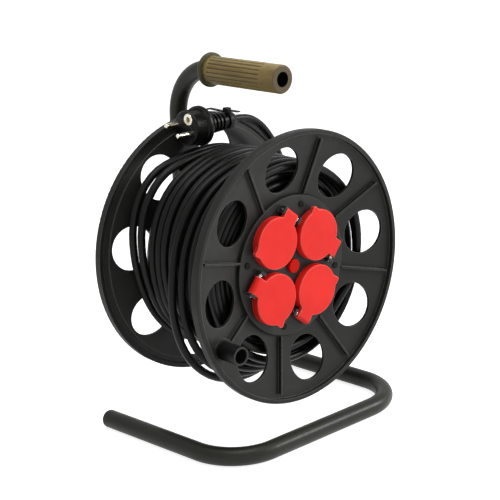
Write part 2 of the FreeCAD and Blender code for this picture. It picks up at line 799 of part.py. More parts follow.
def build_front_flange():
    body = new_body("front_flange")
    seat_radius = "(Sizes.plate_radius + Sizes.plate_gap)"
    foot = "(Sizes.barrel_radius + Sizes.barrel_foot)"
    outline = flange_rim([
        (seat_radius, web_front(seat_radius)),
        (seat_radius, PLATE_SEAT),
        (BARREL_BORE, PLATE_SEAT),
        (BARREL_BORE, BARREL_END),
        (foot, BARREL_END),
        (foot, web_back(foot)),
    ])
    feature = revolve(body, outline)
    add_web_details(body, feature)
    half_step = 180 / size("hole_count")
    flange_turn = size("front_hole_turn") - half_step
    knob_angle = f"(Sizes.knob_turn - Sizes.front_hole_turn + 180 / Sizes.hole_count)"
    knob_x = f"Sizes.knob_circle * cos({knob_angle})"
    knob_y = f"Sizes.knob_circle * sin({knob_angle})"
    boss = new_sketch(body, "KnobBossCircle", "XY_Plane", web_back("Sizes.knob_circle"))
    draw_circle(boss, knob_x, knob_y, "Sizes.knob_boss")
    extrude(body, boss, "KnobBoss", f"({KNOB_SEAT} - {web_back('Sizes.knob_circle')})")
    seat = new_sketch(body, "KnobSeatCircle", "XY_Plane", KNOB_SEAT)
    draw_circle(seat, knob_x, knob_y, "Sizes.knob_boss")
    extrude(body, seat, "KnobSeat", "(Sizes.rib_height + Sizes.web_thick)", cut=True, reverse=True)
    bore = new_sketch(body, "SpindleCircle")
    draw_circle(bore, knob_x, knob_y, "Sizes.spindle_radius")
    extrude(body, bore, "SpindleBore", None, cut=True, through=True, middle=True)
    angle = "(Sizes.plate_screw_turn - Sizes.front_hole_turn + 180 / Sizes.hole_count)"
    x = f"Sizes.plate_screw_circle * cos({angle})"
    y = f"Sizes.plate_screw_circle * sin({angle})"
    lug = new_sketch(body, "PlateScrewLugCircle", "XY_Plane", BARREL_END)
    draw_circle(lug, x, y, "Sizes.plate_screw_boss")
    lug = extrude(body, lug, "PlateScrewLug", f"({PLATE_SEAT} - {BARREL_END})")
    tapped = new_sketch(body, "PlateScrewCircle")
    draw_circle(tapped, x, y, "Sizes.screw_radius")
    tapped = extrude(body, tapped, "PlateScrewBore", None, cut=True, through=True, middle=True)
    repeat_round(body, [lug, tapped], "PlateScrewLugs", QUARTERS)
    screws = new_sketch(body, "ScrewCircle")
    screw_x = "(Sizes.barrel_radius - Sizes.barrel_wall / 2)"
    draw_circle(screws, screw_x, "0", "Sizes.screw_radius")
    hole = extrude(body, screws, "ScrewHole", None, cut=True, through=True, middle=True)
    heads = new_sketch(body, "ScrewHeadCircle", "XY_Plane", f"({PLATE_SEAT} - Sizes.screw_head)")
    draw_circle(heads, screw_x, "0", "Sizes.screw_head_radius")
    sink = extrude(body, heads, "ScrewHead", "(Sizes.screw_head + Sizes.gasket_thick)", cut=True, reverse=True)
    repeat_round(body, [hole, sink], "ScrewHoles", QUARTERS)
    finish("front_flange", body, DRUM.multiply(turned_about_axle(flange_turn)))


def build_rear_flange():
    body = new_body("rear_flange")
    foot = "(Sizes.barrel_radius + Sizes.barrel_foot)"
    foot_in = f"({BARREL_BORE} - Sizes.barrel_foot)"
    outline = flange_rim([
        ("Sizes.hub_radius", web_front("Sizes.hub_radius")),
        ("Sizes.hub_radius", HUB_REAR),
        (BUSH_OUTER, HUB_REAR),
        (BUSH_OUTER, "Sizes.hub_inner_gap"),
        ("Sizes.hub_radius", "Sizes.hub_inner_gap"),
        ("Sizes.hub_radius", web_back("Sizes.hub_radius")),
        (foot_in, web_back(foot_in)),
        (foot_in, BARREL_END),
        (foot, BARREL_END),
        (foot, web_back(foot)),
    ])
    feature = revolve(body, outline)
    add_web_details(body, feature)
    screws = new_sketch(body, "ScrewCircle")
    screw_x = "(Sizes.barrel_radius - Sizes.barrel_wall / 2)"
    draw_circle(screws, screw_x, "0", "Sizes.screw_radius")
    hole = extrude(body, screws, "ScrewHole", None, cut=True, through=True, middle=True)
    repeat_round(body, [hole], "ScrewHoles", QUARTERS)
    half_step = 180 / size("hole_count")
    place = DRUM.multiply(BACKWARDS).multiply(turned_about_axle(size("rear_hole_turn") - half_step))
    finish("rear_flange", body, place)


def build_barrel(screws):
    """Tube between the flanges, bored for the gland and for the flange screws."""
    length = f"(2 * {BARREL_END})"
    tube = ring("barrel", "Sizes.barrel_radius", BARREL_BORE, length, f"(-{BARREL_END})")
    gland = cylinder("barrel_gland_hole", "Sizes.gland_radius", "2 * Sizes.barrel_radius")
    gland.Placement = gland_frame(0)
    holes = union("barrel_holes", [gland] + screws)
    finish("barrel", cut("barrel_cut", tube, holes), DRUM)


def gland_frame(distance):
    """Frame on the gland's radial axis, Z pointing outwards."""
    outwards = FreeCAD.Rotation(V(0, 0, 1), size("gland_angle")).multVec(V(1, 0, 0))
    base = outwards * distance + V(0, 0, size("gland_z"))
    return FreeCAD.Placement(base, FreeCAD.Rotation(V(0, 0, 1), outwards))


def build_gland():
    inside = size("barrel_radius") - size("gland_length")
    place = DRUM.multiply(gland_frame(inside))
    length = "(Sizes.gland_length - Sizes.gland_inset)"
    sleeve = ring("cord_gland", "Sizes.gland_radius", "Sizes.cord_radius", length, "0")
    finish("cord_gland", sleeve, place)
    inlet_start = size("barrel_radius") - size("inlet_length")
    inlet = cylinder("inlet_bar", "Sizes.cord_radius", "(Sizes.inlet_length - Sizes.gland_inset)")
    finish("cord_inlet", inlet, DRUM.multiply(gland_frame(inlet_start)))


def build_bush():
    body = new_body("bearing_bush")
    bore = "(Sizes.axle_radius + Sizes.run_gap)"
    lip_front = f"({HUB_REAR} + Sizes.bush_lip)"
    revolve(body, [
        (bore, "Sizes.hub_inner_gap"),
        (BUSH_OUTER, "Sizes.hub_inner_gap"),
        (BUSH_OUTER, HUB_REAR),
        ("(Sizes.hub_radius - Sizes.bush_lip_inset)", HUB_REAR),
        ("(Sizes.hub_radius - Sizes.bush_lip_inset)", lip_front),
        (bore, lip_front),
    ])
    finish("bearing_bush", body, DRUM.multiply(BACKWARDS))


def screw(name, head_z, head_thick, head_radius, reach, x, y):
    head = cylinder(f"{name}_head", head_radius, head_thick, (x, y, head_z))
    shank = cylinder(f"{name}_shank", "Sizes.screw_radius", reach, (x, y, f"({head_z} - {reach})"))
    return union(f"{name}_screw", [head, shank])


def build_flange_screws():
    radius = "(Sizes.barrel_radius - Sizes.barrel_wall / 2)"
    front_turn = "(Sizes.front_hole_turn - 180 / Sizes.hole_count)"
    rear_turn = "(180 - Sizes.rear_hole_turn + 180 / Sizes.hole_count)"
    rear_plane = web_front("(Sizes.barrel_radius + Sizes.screw_head_radius)")
    screws = []
    for number in range(QUARTERS):
        angle = f"({front_turn} + {360 / QUARTERS * number})"
        screws.append(screw(
            f"front_{number}", f"({PLATE_SEAT} - Sizes.screw_head)", "Sizes.screw_head",
            "Sizes.screw_head_radius", "Sizes.screw_length",
            f"{radius} * cos({angle})", f"{radius} * sin({angle})",
        ))
    for number in range(QUARTERS):
        angle = f"({rear_turn} + {360 / QUARTERS * number})"
        x = f"{radius} * cos({angle})"
        y = f"{radius} * sin({angle})"
        head = cylinder(f"rear_{number}_head", "Sizes.screw_head_radius", "Sizes.screw_head",
                        (x, y, f"(-{rear_plane} - Sizes.screw_head)"))
        shank = cylinder(f"rear_{number}_shank", "Sizes.screw_radius", "Sizes.screw_length",
                         (x, y, f"(-{rear_plane})"))
        screws.append(union(f"rear_{number}_screw", [head, shank]))
    finish("flange_screws", group("flange_screw_group", screws), DRUM)
    return screws


# Socket plate

def build_plate():
    """Plate in a frame whose Y axis is the first lid's hinge direction."""
    body = new_body("socket_plate")
    feature = revolve(body, [
        ("0", PLATE_BACK),
        ("Sizes.plate_radius", PLATE_BACK),
        ("Sizes.plate_radius", PLATE_FRONT),
        ("0", PLATE_FRONT),
    ])
    outer = size("plate_radius")
    top = amount(PLATE_FRONT)
    round_edges(body, feature, "PlateEdge", "Sizes.plate_round", lambda r, z: near(r, outer) and near(z, top))
    # One quarter of the plate is a well hole, two hinge ears and a screw hole, repeated round the axis
    centre_x = "(Sizes.socket_circle * sin(Sizes.hinge_turn))"
    centre_y = "(Sizes.socket_circle * cos(Sizes.hinge_turn))"
    wells = new_sketch(body, "WellCircle")
    draw_circle(wells, centre_x, centre_y, WELL_OUTER)
    well = extrude(body, wells, "WellHole", None, cut=True, through=True, middle=True)
    screws = new_sketch(body, "PlateScrewCircle")
    angle = "(Sizes.plate_screw_turn - Sizes.socket_turn + 90 - Sizes.hinge_turn)"
    draw_circle(screws, f"Sizes.plate_screw_circle * cos({angle})",
                f"Sizes.plate_screw_circle * sin({angle})", "Sizes.screw_radius")
    hole = extrude(body, screws, "PlateScrewHole", None, cut=True, through=True, middle=True)
    hinge_x = f"({centre_x} + Sizes.hinge_reach)"
    tab = "(Sizes.tab_width / 2 + Sizes.ear_gap)"
    quarter = [well, hole]
    for name, start in (
        ("NearEar", f"({centre_y} + {tab})"),
        ("FarEar", f"({centre_y} - {tab} - Sizes.spring_room - Sizes.ear_thick)"),
    ):
        outline = new_sketch(body, f"{name}Outline", "XY_Plane", PLATE_BACK)
        left = f"({hinge_x} - Sizes.ear_radius)"
        right = f"({hinge_x} + Sizes.ear_radius)"
        end = f"({start} + Sizes.ear_thick)"
        draw_outline(outline, [(left, start), (right, start), (right, end), (left, end)])
        height = f"({HINGE_Z} + Sizes.ear_radius - {PLATE_BACK})"
        quarter.append(extrude(body, outline, name, height))
    pin = new_sketch(body, "HingePinCircle", "XZ_Plane")
    draw_circle(pin, hinge_x, HINGE_Z, "Sizes.hinge_pin_radius")
    quarter.append(extrude(body, pin, "HingePinBore", None, cut=True, through=True, middle=True))
    repeat_round(body, quarter, "Quarters", QUARTERS)
    button = new_sketch(body, "ButtonCircle")
    draw_circle(button, "0", "0", "(Sizes.button_radius + Sizes.face_gap)")
    extrude(body, button, "ButtonHole", None, cut=True, through=True, middle=True)
    turn = size("socket_turn") - 90 + size("hinge_turn")
    finish("socket_plate", body, DRUM.multiply(turned_about_axle(turn)))


def build_hinge_pin(tag, frame):
    """Pin along the lid's hinge, through both ears of the plate."""
    start = "(Sizes.tab_width / 2 + Sizes.ear_gap + Sizes.ear_thick + Sizes.hinge_pin_end)"
    end = f"({start} + Sizes.spring_room)"
    pin = cylinder(f"hinge_pin_{tag}_bar", "Sizes.hinge_pin_radius", f"({start} + {end})")
    along = FreeCAD.Rotation(V(1, 0, 0), 90)
    place = FreeCAD.Placement(V(size("hinge_reach"), amount(start), amount(HINGE_Z)), along)
    finish(f"hinge_pin_{tag}", pin, frame.multiply(place))


def build_plate_fixings():
    gasket_bore = f"({BARREL_BORE} + Sizes.face_gap)"
    gasket = ring("plate_gasket", "Sizes.plate_radius", gasket_bore, "Sizes.gasket_thick", PLATE_SEAT)
    screws = []
    for number in range(QUARTERS):
        angle = f"(Sizes.plate_screw_turn + {360 / QUARTERS * number})"
        x = f"Sizes.plate_screw_circle * cos({angle})"
        y = f"Sizes.plate_screw_circle * sin({angle})"
        screws.append(screw(f"plate_{number}", PLATE_FRONT, "Sizes.plate_screw_rise", "Sizes.plate_screw_head",
                            "Sizes.plate_screw_reach", x, y))
    finish("plate_gasket", gasket, DRUM)
    finish("plate_screws", group("plate_screw_group", screws), DRUM)


def build_socket(number):
    tag = number + 1
    frame = socket_frame(number)
    # Pins lie across the hinge direction, the earth clips along it
    body = new_body(f"socket_well_{tag}")
    lip = f"({WELL_OUTER} + Sizes.well_lip)"
    revolve(body, [
        ("0", WELL_BACK),
        (WELL_OUTER, WELL_BACK),
        (WELL_OUTER, f"({PLATE_BACK} - Sizes.well_lip_thick)"),
        (lip, f"({PLATE_BACK} - Sizes.well_lip_thick)"),
        (lip, PLATE_BACK),
        (WELL_OUTER, PLATE_BACK),
        (WELL_OUTER, WELL_TOP),
        ("Sizes.well_radius", WELL_TOP),
        ("Sizes.well_radius", WELL_FLOOR),
        ("0", WELL_FLOOR),
    ])
    pins = new_sketch(body, "PinCircles")
    for side in ("+", "-"):
        draw_circle(pins, "0", f"{side}Sizes.pin_spacing / 2", "Sizes.pin_hole_radius")
    extrude(body, pins, "PinHoles", None, cut=True, through=True, middle=True)
    slots = new_sketch(body, "ClipSlots", "XY_Plane", WELL_BACK)
    inside = "(Sizes.well_radius - Sizes.clip_slot_depth)"
    outside = "(Sizes.well_radius + Sizes.clip_thick + 2 * Sizes.clip_gap)"
    half = "(Sizes.clip_width / 2 + Sizes.clip_gap)"
    for sign in ("", "-"):
        near_x = f"{sign}{inside}"
        far_x = f"{sign}{outside}"
        corners = [(near_x, f"-{half}"), (far_x, f"-{half}"), (far_x, half), (near_x, half)]
        draw_outline(slots, corners)
    extrude(body, slots, "ClipSlot", f"({WELL_TOP} - Sizes.clip_top_gap + Sizes.clip_gap - {WELL_BACK})",
            cut=True, reverse=True)
    finish(f"socket_well_{tag}", body, frame)
    sleeves = []
    for side in ("+", "-"):
        y = f"{side}Sizes.pin_spacing / 2"
        base = ("0", y, f"({WELL_BACK} - Sizes.sleeve_length)")
        outer = cylinder(f"sleeve_{tag}_outside", "Sizes.sleeve_radius", "Sizes.sleeve_length", base)
        bore = cylinder(f"sleeve_{tag}_bore", "Sizes.sleeve_bore", "Sizes.sleeve_length", base)
        sleeves.append(cut(f"sleeve_{tag}", outer, bore))
    finish(f"contact_sleeves_{tag}", group(f"sleeve_pair_{tag}", sleeves), frame)
    clips = []
    for sign in (1, -1):
        near_edge = "(Sizes.well_radius + Sizes.clip_gap)"
        corner_x = near_edge if sign > 0 else f"(-{near_edge} - Sizes.clip_thick)"
        height = f"({WELL_TOP} - Sizes.clip_top_gap - {WELL_BACK} + Sizes.clip_tail)"
        clips.append(block(
            f"clip_{tag}_strip", ("Sizes.clip_thick", "Sizes.clip_width", height),
            (corner_x, "-Sizes.clip_width / 2", f"({WELL_BACK} - Sizes.clip_tail)"),
        ))
    finish(f"earth_clips_{tag}", group(f"clip_pair_{tag}", clips), frame)


def build_lid(number):
    tag = number + 1
    frame = socket_frame(number)
    body = new_body(f"lid_{tag}")
    cavity = "(Sizes.lid_radius - Sizes.lid_wall)"
    ceiling = f"({WELL_TOP} + Sizes.face_gap + Sizes.seal_thick)"
    feature = revolve(body, [
        ("0", ceiling),
        (cavity, ceiling),
        (cavity, LID_BOTTOM),
        ("Sizes.lid_radius", LID_BOTTOM),
        ("Sizes.lid_radius", LID_TOP),
        ("0", LID_TOP),
    ])
    outer = size("lid_radius")
    top = amount(LID_TOP)
    round_edges(body, feature, "LidEdge", "Sizes.lid_round", lambda r, z: near(r, outer) and near(z, top))
    tab = new_sketch(body, "TabOutline", "XY_Plane", HINGE_Z)
    half_tab = "(Sizes.tab_width / 2)"
    root = f"({cavity} + Sizes.lid_wall / 5)"
    draw_outline(tab, [
        (root, f"-{half_tab}"),
        ("Sizes.hinge_reach", f"-{half_tab}"),
        ("Sizes.hinge_reach", half_tab),
        (root, half_tab),
    ])
    arm_thick = f"({LID_TOP} - {HINGE_Z})"
    extrude(body, tab, "Tab", arm_thick)
    barrel = new_sketch(body, "HingeBarrelCircle", "XZ_Plane")
    draw_circle(barrel, "Sizes.hinge_reach", HINGE_Z, "Sizes.hinge_barrel")
    extrude(body, barrel, "HingeBarrel", "Sizes.tab_width", middle=True)
    thumb = new_sketch(body, "ThumbOutline", "XY_Plane", f"({LID_TOP} - Sizes.thumb_thick)")
    inside = "(Sizes.lid_radius - Sizes.lid_wall / 2)"
    half_width = "(Sizes.thumb_width / 2)"
    corners = []
    for along, across in (
        (inside, f"(-{half_width})"),
        ("Sizes.thumb_reach", "(-Sizes.thumb_tip / 2)"),
        ("Sizes.thumb_reach", "(Sizes.thumb_tip / 2)"),
        (inside, half_width),
    ):
        corners.append((
            f"({along} * cos(Sizes.thumb_turn) - {across} * sin(Sizes.thumb_turn))",
            f"({along} * sin(Sizes.thumb_turn) + {across} * cos(Sizes.thumb_turn))",
        ))
    draw_outline(thumb, corners)
    extrude(body, thumb, "Thumb", "Sizes.thumb_thick")
    pin = new_sketch(body, "HingePinCircle", "XZ_Plane")
    draw_circle(pin, "Sizes.hinge_reach", HINGE_Z, "(Sizes.hinge_pin_radius + Sizes.run_gap)")
    extrude(body, pin, "HingePinBore", None, cut=True, through=True, middle=True)
    finish(f"lid_{tag}", body, frame)
    seal_outer = f"({cavity} - Sizes.seal_gap)"
    seal = ring(f"lid_seal_{tag}", seal_outer, f"({seal_outer} - Sizes.seal_width)", "Sizes.seal_thick",
                f"({WELL_TOP} + Sizes.face_gap)")
    finish(f"lid_seal_{tag}", seal, frame)
    build_hinge_pin(tag, frame)
    build_lid_spring(tag, frame)


def build_lid_spring(tag, frame):
    """Three open curls of spring wire round the hinge pin, in the gap beside the tab."""
    radius = size("spring_radius")
    wire = size("spring_wire") / 2
    pitch = size("spring_pitch")
    turns = int((size("spring_room") - 2 * wire) / pitch)
    middle = -size("tab_width") / 2 - size("ear_gap") - size("spring_room") / 2
    start_y = middle - pitch * turns / 2

    def point(count):
        angle = 2 * math.pi * count
        return V(size("hinge_reach") + radius * math.cos(angle), start_y + pitch * count,
                 amount(HINGE_Z) + radius * math.sin(angle))

    def heading(count):
        step = 1e-4
        return (point(count + step) - point(count - step)).normalize()

    quarters = [number / 4 for number in range(4 * turns + 1)]
    edges = []
    for first, second in zip(quarters, quarters[1:]):
        edges += biarc(point(first), heading(first), point(second), heading(second))
    shape_feature(f"lid_spring_{tag}", tube_along(Part.Wire(edges), wire), frame)


def build_cutout():
    side = "Sizes.cutout_side"
    base = f"({PLATE_BACK} - Sizes.cutout_depth)"
    case = block("cutout_case", (side, side, "Sizes.cutout_depth"), (f"(-{side} / 2)", f"(-{side} / 2)", base))
    button_foot = f"({PLATE_FRONT} + Sizes.button_rise - Sizes.button_length)"
    floor = f"({button_foot} - Sizes.button_travel - 2 * Sizes.face_gap)"
    well = cylinder("cutout_well", "(Sizes.button_radius + Sizes.face_gap)", f"({PLATE_BACK} - {floor})",
                    ("0", "0", floor))
    finish("cutout_body", cut("cutout_cut", case, well), DRUM)
    body = new_body("reset_button")
    top = f"({PLATE_FRONT} + Sizes.button_rise)"
    feature = revolve(body, [
        ("0", button_foot),
        ("Sizes.button_radius", button_foot),
        ("Sizes.button_radius", top),
        ("0", top),
    ])
    radius = size("button_radius")
    height = amount(top)
    round_edges(
        body, feature, "ButtonEdge", "Sizes.button_round",
        lambda r, z: near(r, radius) and near(z, height),
    )
    finish("reset_button", body, DRUM)
    terminal = block("terminal_case", ("Sizes.terminal_width", "Sizes.terminal_height", "Sizes.terminal_depth"))
    corner = moved(-size("terminal_width") / 2, -size("terminal_height") / 2,
                   amount(base) - size("terminal_depth"))
    finish("terminal_block", terminal, DRUM.multiply(corner))


def build_inner_wires():
    """Three cores from the cord inlet to the side of the terminal block."""
    turn = FreeCAD.Rotation(V(0, 0, 1), size("gland_angle"))
    inlet = size("barrel_radius") - size("inlet_length")
    side = size("terminal_width") / 2
    straight = size("wire_straight")
    terminal_z = amount(PLATE_BACK) - size("cutout_depth") - size("terminal_depth") / 2
    wires = []
    for number in (-1, 0, 1):
        sideways = 2 * number * size("wire_radius")
        spread = number * size("terminal_height") / 4
        start = turn.multVec(V(inlet, sideways, 0)) + V(0, 0, size("gland_z"))
        leaving = turn.multVec(V(inlet - straight, sideways, 0)) + V(0, 0, size("gland_z"))
        arriving = V(side + straight, spread, terminal_z)
        route = bent_route([start, leaving, arriving, V(side, spread, terminal_z)])
        wires.append(tube_along(route, size("wire_radius")))
    shape_feature("inner_wires", Part.makeCompound(wires), DRUM)


# Winding knob

def build_knob():
    place = FreeCAD.Rotation(V(0, 0, 1), size("knob_turn")).multVec(V(size("knob_circle"), 0, 0))
    frame = DRUM.multiply(FreeCAD.Placement(place + V(0, 0, amount(KNOB_SEAT)), FreeCAD.Rotation()))
    body = new_body("winding_knob")
    base = "Sizes.face_gap"
    top = "(Sizes.face_gap + Sizes.knob_length)"
    inner = "(Sizes.knob_radius - Sizes.knob_wall)"
    floor = "(Sizes.face_gap + Sizes.knob_floor)"
    bore = "(Sizes.spindle_radius + Sizes.run_gap)"
    feature = revolve(body, [
        (bore, base),
        ("Sizes.knob_radius", base),
        ("Sizes.knob_radius", top),
        (inner, top),
        (inner, floor),
        (bore, floor),
    ])
    end = amount(top)
    round_edges(body, feature, "MouthEdge", "Sizes.knob_round", lambda r, z: near(z, end))
    finish("winding_knob", body, frame)
    spindle = new_body("knob_spindle")
    web = f"({KNOB_SEAT} - {web_back('Sizes.knob_circle')} + Sizes.spindle_end)"
    head = "(Sizes.knob_floor + 2 * Sizes.face_gap)"
    revolve(spindle, [
        ("0", f"(-{web})"),
        ("Sizes.spindle_radius", f"(-{web})"),
        ("Sizes.spindle_radius", head),
        ("Sizes.spindle_head", head),
        ("Sizes.spindle_head", f"({head} + Sizes.spindle_head_thick)"),
        ("0", f"({head} + Sizes.spindle_head_thick)"),
    ])
    finish("knob_spindle", spindle, frame)


# Cord and plug

def build_cord():
    core = new_body("cord_core")
    flare = "(Sizes.core_half + Sizes.core_flare * (Sizes.core_radius - Sizes.barrel_radius))"
    revolve(core, [
        ("Sizes.barrel_radius", "-Sizes.core_half"),
        ("Sizes.core_radius", f"(-{flare})"),
        ("Sizes.core_radius", flare),
        ("Sizes.barrel_radius", "Sizes.core_half"),
    ])
    finish("cord_core", core, DRUM)
    shape_feature("cord_turns", wound_tube(), DRUM)
    relief_end_x = size("plug_x") + size("plug_length") + size("relief_length")
    relief_end = V(relief_end_x, size("plug_up"), size("plug_z"))
    points = [relief_end, relief_end + V(size("lead_exit"), 0, 0)]
    for angle, distance, along in LEAD_ROUTE:
        turn = math.radians(angle)
        points.append(V(distance * math.cos(turn), distance * math.sin(turn), along))
    end = winding_point(0) - winding_heading(0) * 2 * size("cord_radius")
    points.append(end - winding_heading(0) * size("lead_last_run"))
    points.append(end)
    route = bent_route(points, label="lead")
    lead = tube_along(route, size("cord_radius"))
    section = math.pi * size("cord_radius") ** 2
    print("lead length", round(route.Length, 1), "volume ratio", round(lead.Volume / section / route.Length, 4))
    shape_feature("plug_lead", lead, DRUM)


def plug_frame():
    """Frame at the plug's face, Z along the pins, X along the line between them."""
    turn = math.radians(size("plug_turn"))
    pins = V(0, math.sin(turn), -math.cos(turn))
    face = V(-1, 0, 0)
    earth = face.cross(pins)
    matrix = FreeCAD.Matrix(
        pins.x, earth.x, face.x, size("plug_x"),
        pins.y, earth.y, face.y, size("plug_up"),
        pins.z, earth.z, face.z, size("plug_z"),
        0, 0, 0, 1,
    )
    return DRUM.multiply(FreeCAD.Placement(matrix))


def build_plug():
    frame = plug_frame()
    body = new_body("plug_body")
    length = "Sizes.plug_length"
    ring_start = f"(-{length} + Sizes.plug_ring_thick)"
    feature = revolve(body, [
        ("0", f"(-{length})"),
        ("Sizes.plug_ring_radius", f"(-{length})"),
        ("Sizes.plug_ring_radius", ring_start),
        ("(Sizes.plug_face_radius + Sizes.plug_taper)", ring_start),
        ("Sizes.plug_face_radius", "0"),
        ("0", "0"),
    ])
    ring_radius = size("plug_ring_radius")
    face_radius = size("plug_face_radius")
    round_edges(body, feature, "PlugEdges", "Sizes.plug_round",
                lambda r, z: near(r, ring_radius) or near(r, face_radius))
    doc.recompute()
    sockets = new_sketch(body, "PinRoots")
    for side in ("+", "-"):
        draw_circle(sockets, f"{side}Sizes.pin_spacing / 2", "0", "Sizes.plug_pin_root_radius")
    extrude(body, sockets, "PinRoot", "Sizes.plug_pin_root", cut=True)
    earth = new_sketch(body, "EarthCircle")
    draw_circle(earth, "0", "(-Sizes.earth_offset)", "Sizes.earth_radius")
    extrude(body, earth, "EarthHole", "Sizes.earth_depth", cut=True)
    notches = new_sketch(body, "SideNotches")
    inside = "(Sizes.plug_face_radius - Sizes.side_clip_sink)"
    outside = "(Sizes.plug_face_radius + Sizes.side_clip_room)"
    half = "(Sizes.side_clip_width / 2)"
    for sign in ("", "-"):
        draw_outline(notches, [
            (f"-{half}", f"{sign}{inside}"),
            (half, f"{sign}{inside}"),
            (half, f"{sign}{outside}"),
            (f"-{half}", f"{sign}{outside}"),
        ])
    extrude(body, notches, "SideNotch", "Sizes.side_clip_length", cut=True)
    finish("plug_body", body, frame)
    pins = []
    for side in ("+", "-"):
        pin = new_body(f"plug_pin_{'near' if side == '+' else 'far'}")
        shaft = revolve(pin, [
            ("0", "-Sizes.plug_pin_root"),
            ("Sizes.plug_pin_root_radius", "-Sizes.plug_pin_root"),
            ("Sizes.plug_pin_root_radius", "0"),
            ("Sizes.plug_pin_radius", "0"),
            ("Sizes.plug_pin_radius", "Sizes.plug_pin_length"),
            ("0", "Sizes.plug_pin_length"),
        ])
        tip = size("plug_pin_length")
        round_edges(
            pin, shaft, "Tip", "(Sizes.plug_pin_radius - Sizes.plug_pin_tip)",
            lambda r, z: near(z, tip),
        )
        pin.setExpression("Placement.Base.x", f"{side}Sizes.pin_spacing / 2")
        pins.append(pin)
    finish("plug_pins", group("plug_pin_pair", pins), frame)
    socket = ring("plug_earth_socket", "Sizes.earth_radius", "Sizes.earth_bore", "Sizes.earth_depth",
                  "-Sizes.earth_depth")
    finish("plug_earth_socket", socket, frame.multiply(moved(0, -size("earth_offset"), 0)))
    strips = []
    for sign in (1, -1):
        corner = inside if sign > 0 else f"(-{inside} - Sizes.clip_thick)"
        strips.append(block(
            "plug_strip", ("Sizes.side_clip_width", "Sizes.clip_thick", "Sizes.side_clip_length"),
            (f"-{half}", corner, "-Sizes.side_clip_length"),
        ))
    finish("plug_earth_clips", group("plug_strip_pair", strips), frame)


def build_relief():
    """Ribbed cone behind the plug, as a turned piece whose ribs come from a loop."""
    body = new_body("plug_strain_relief")
    start = "Sizes.plug_length"
    ribs = int(size("relief_ribs"))
    points = [("0", f"(-{start})"), ("Sizes.relief_root_radius", f"(-{start})")]
    step = f"(Sizes.relief_length / {2 * ribs})"
    taper = "((Sizes.relief_root_radius - Sizes.relief_end_radius) / Sizes.relief_length)"
    for rib in range(ribs):
        low = f"({step} * {2 * rib + 1})"
        high = f"({step} * {2 * rib + 2})"
        groove = f"(Sizes.relief_root_radius - {taper} * {low} - Sizes.relief_groove)"
        points.append((f"(Sizes.relief_root_radius - {taper} * {low})", f"(-{start} - {low})"))
        points.append((groove, f"(-{start} - {low})"))
        rib_foot = f"(-{start} - {high} + Sizes.relief_rib_edge)"
        points.append((groove, rib_foot))
        points.append((f"(Sizes.relief_root_radius - {taper} * {high})", rib_foot))
    points.append(("Sizes.relief_end_radius", f"(-{start} - Sizes.relief_length)"))
    points.append(("0", f"(-{start} - Sizes.relief_length)"))
    revolve(body, points)
    finish("plug_strain_relief", body, plug_frame())


def belt_wire(first, first_radius, second, second_radius):
    """Closed loop of two arcs and their outer tangents, in the plane x = 0 of the given points."""
    gap = second - first
    distance = gap.Length
    along = gap.normalize()
    across = V(1, 0, 0).cross(along)
    slant = math.asin((first_radius - second_radius) / distance)
    edges = []
    ends = []
    for sign in (1, -1):
        normal = along * math.sin(slant) + across * (sign * math.cos(slant))
        ends.append((first + normal * first_radius, second + normal * second_radius))
    edges.append(Part.LineSegment(ends[0][0], ends[0][1]).toShape())
    edges.append(Part.Arc(ends[0][1], second + along * second_radius, ends[1][1]).toShape())
    edges.append(Part.LineSegment(ends[1][1], ends[1][0]).toShape())
    edges.append(Part.Arc(ends[1][0], first - along * first_radius, ends[0][0]).toShape())
    return Part.Wire(edges)


def build_tie():
    """Flat strap round the strain relief and the rear rim, through a flange hole."""
    x = size("plug_x") + size("tie_reach")
    width = size("tie_width")
    along = (size("tie_reach") - width / 2 - size("plug_length")) / size("relief_length")
    relief_radius = size("relief_root_radius") * (1 - along) + size("relief_end_radius") * along
    relief = V(x - width / 2, size("plug_up"), size("plug_z"))
    rim_up = math.sqrt(size("flange_radius") ** 2 - x ** 2) - size("tie_rim_radius") + size("tie_stand_off")
    rim = V(x - width / 2, rim_up, -amount(HALF) + size("rim_depth") / 2)
    thick = size("tie_thick")
    inner = belt_wire(relief, relief_radius, rim, size("tie_rim_radius"))
    outer = belt_wire(relief, relief_radius + thick, rim, size("tie_rim_radius") + thick)
    strap = Part.Face(outer).extrude(V(width, 0, 0)).cut(Part.Face(inner).extrude(V(width, 0, 0)))
    head_up = size("plug_up") + relief_radius + thick / 2
    margin = size("tie_head_margin")
    head_length = size("tie_head_length")
    corner = V(x - width / 2, head_up, size("plug_z"))
    head = Part.makeBox(width + 2 * margin, size("tie_head_rise"), head_length,
                        corner - V(margin, 0, head_length / 2))
    tail = Part.makeBox(width, size("tie_tail_thick"), size("tie_tail_length"),
                        corner + V(0, size("tie_tail_rise"), head_length / 3))
    shape_feature("plug_tie", strap.fuse(head).fuse(tail), DRUM)


# Assembly

build_stand_tube()
build_end_cap()
build_grip()
build_axle()
build_front_flange()
build_rear_flange()
build_barrel(build_flange_screws())
build_gland()
build_bush()
build_plate()
build_plate_fixings()
for socket_number in range(QUARTERS):
    build_socket(socket_number)
    build_lid(socket_number)
build_cutout()
build_inner_wires()
build_knob()
build_cord()
build_plug()
build_relief()
build_tie()
doc.recompute()

# Checks and export

for thing in doc.Objects:
    if "Invalid" in thing.State or "Error" in thing.State:
        raise RuntimeError(f"{thing.Label} did not compute: {thing.State}")
os.makedirs("parts", exist_ok=True)
for node, thing in finished.items():
    shape = thing.Shape
    if shape.isNull() or not shape.isValid():
        raise RuntimeError(f"{node} has no valid shape")
    shape.exportStep(f"parts/{node}.step")
    print(node, "solids", len(shape.Solids), "volume", round(shape.Volume, 1))
print(len(finished), "nodes")
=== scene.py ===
import bpy
import bmesh
import json
import math
from mathutils import Matrix, Vector


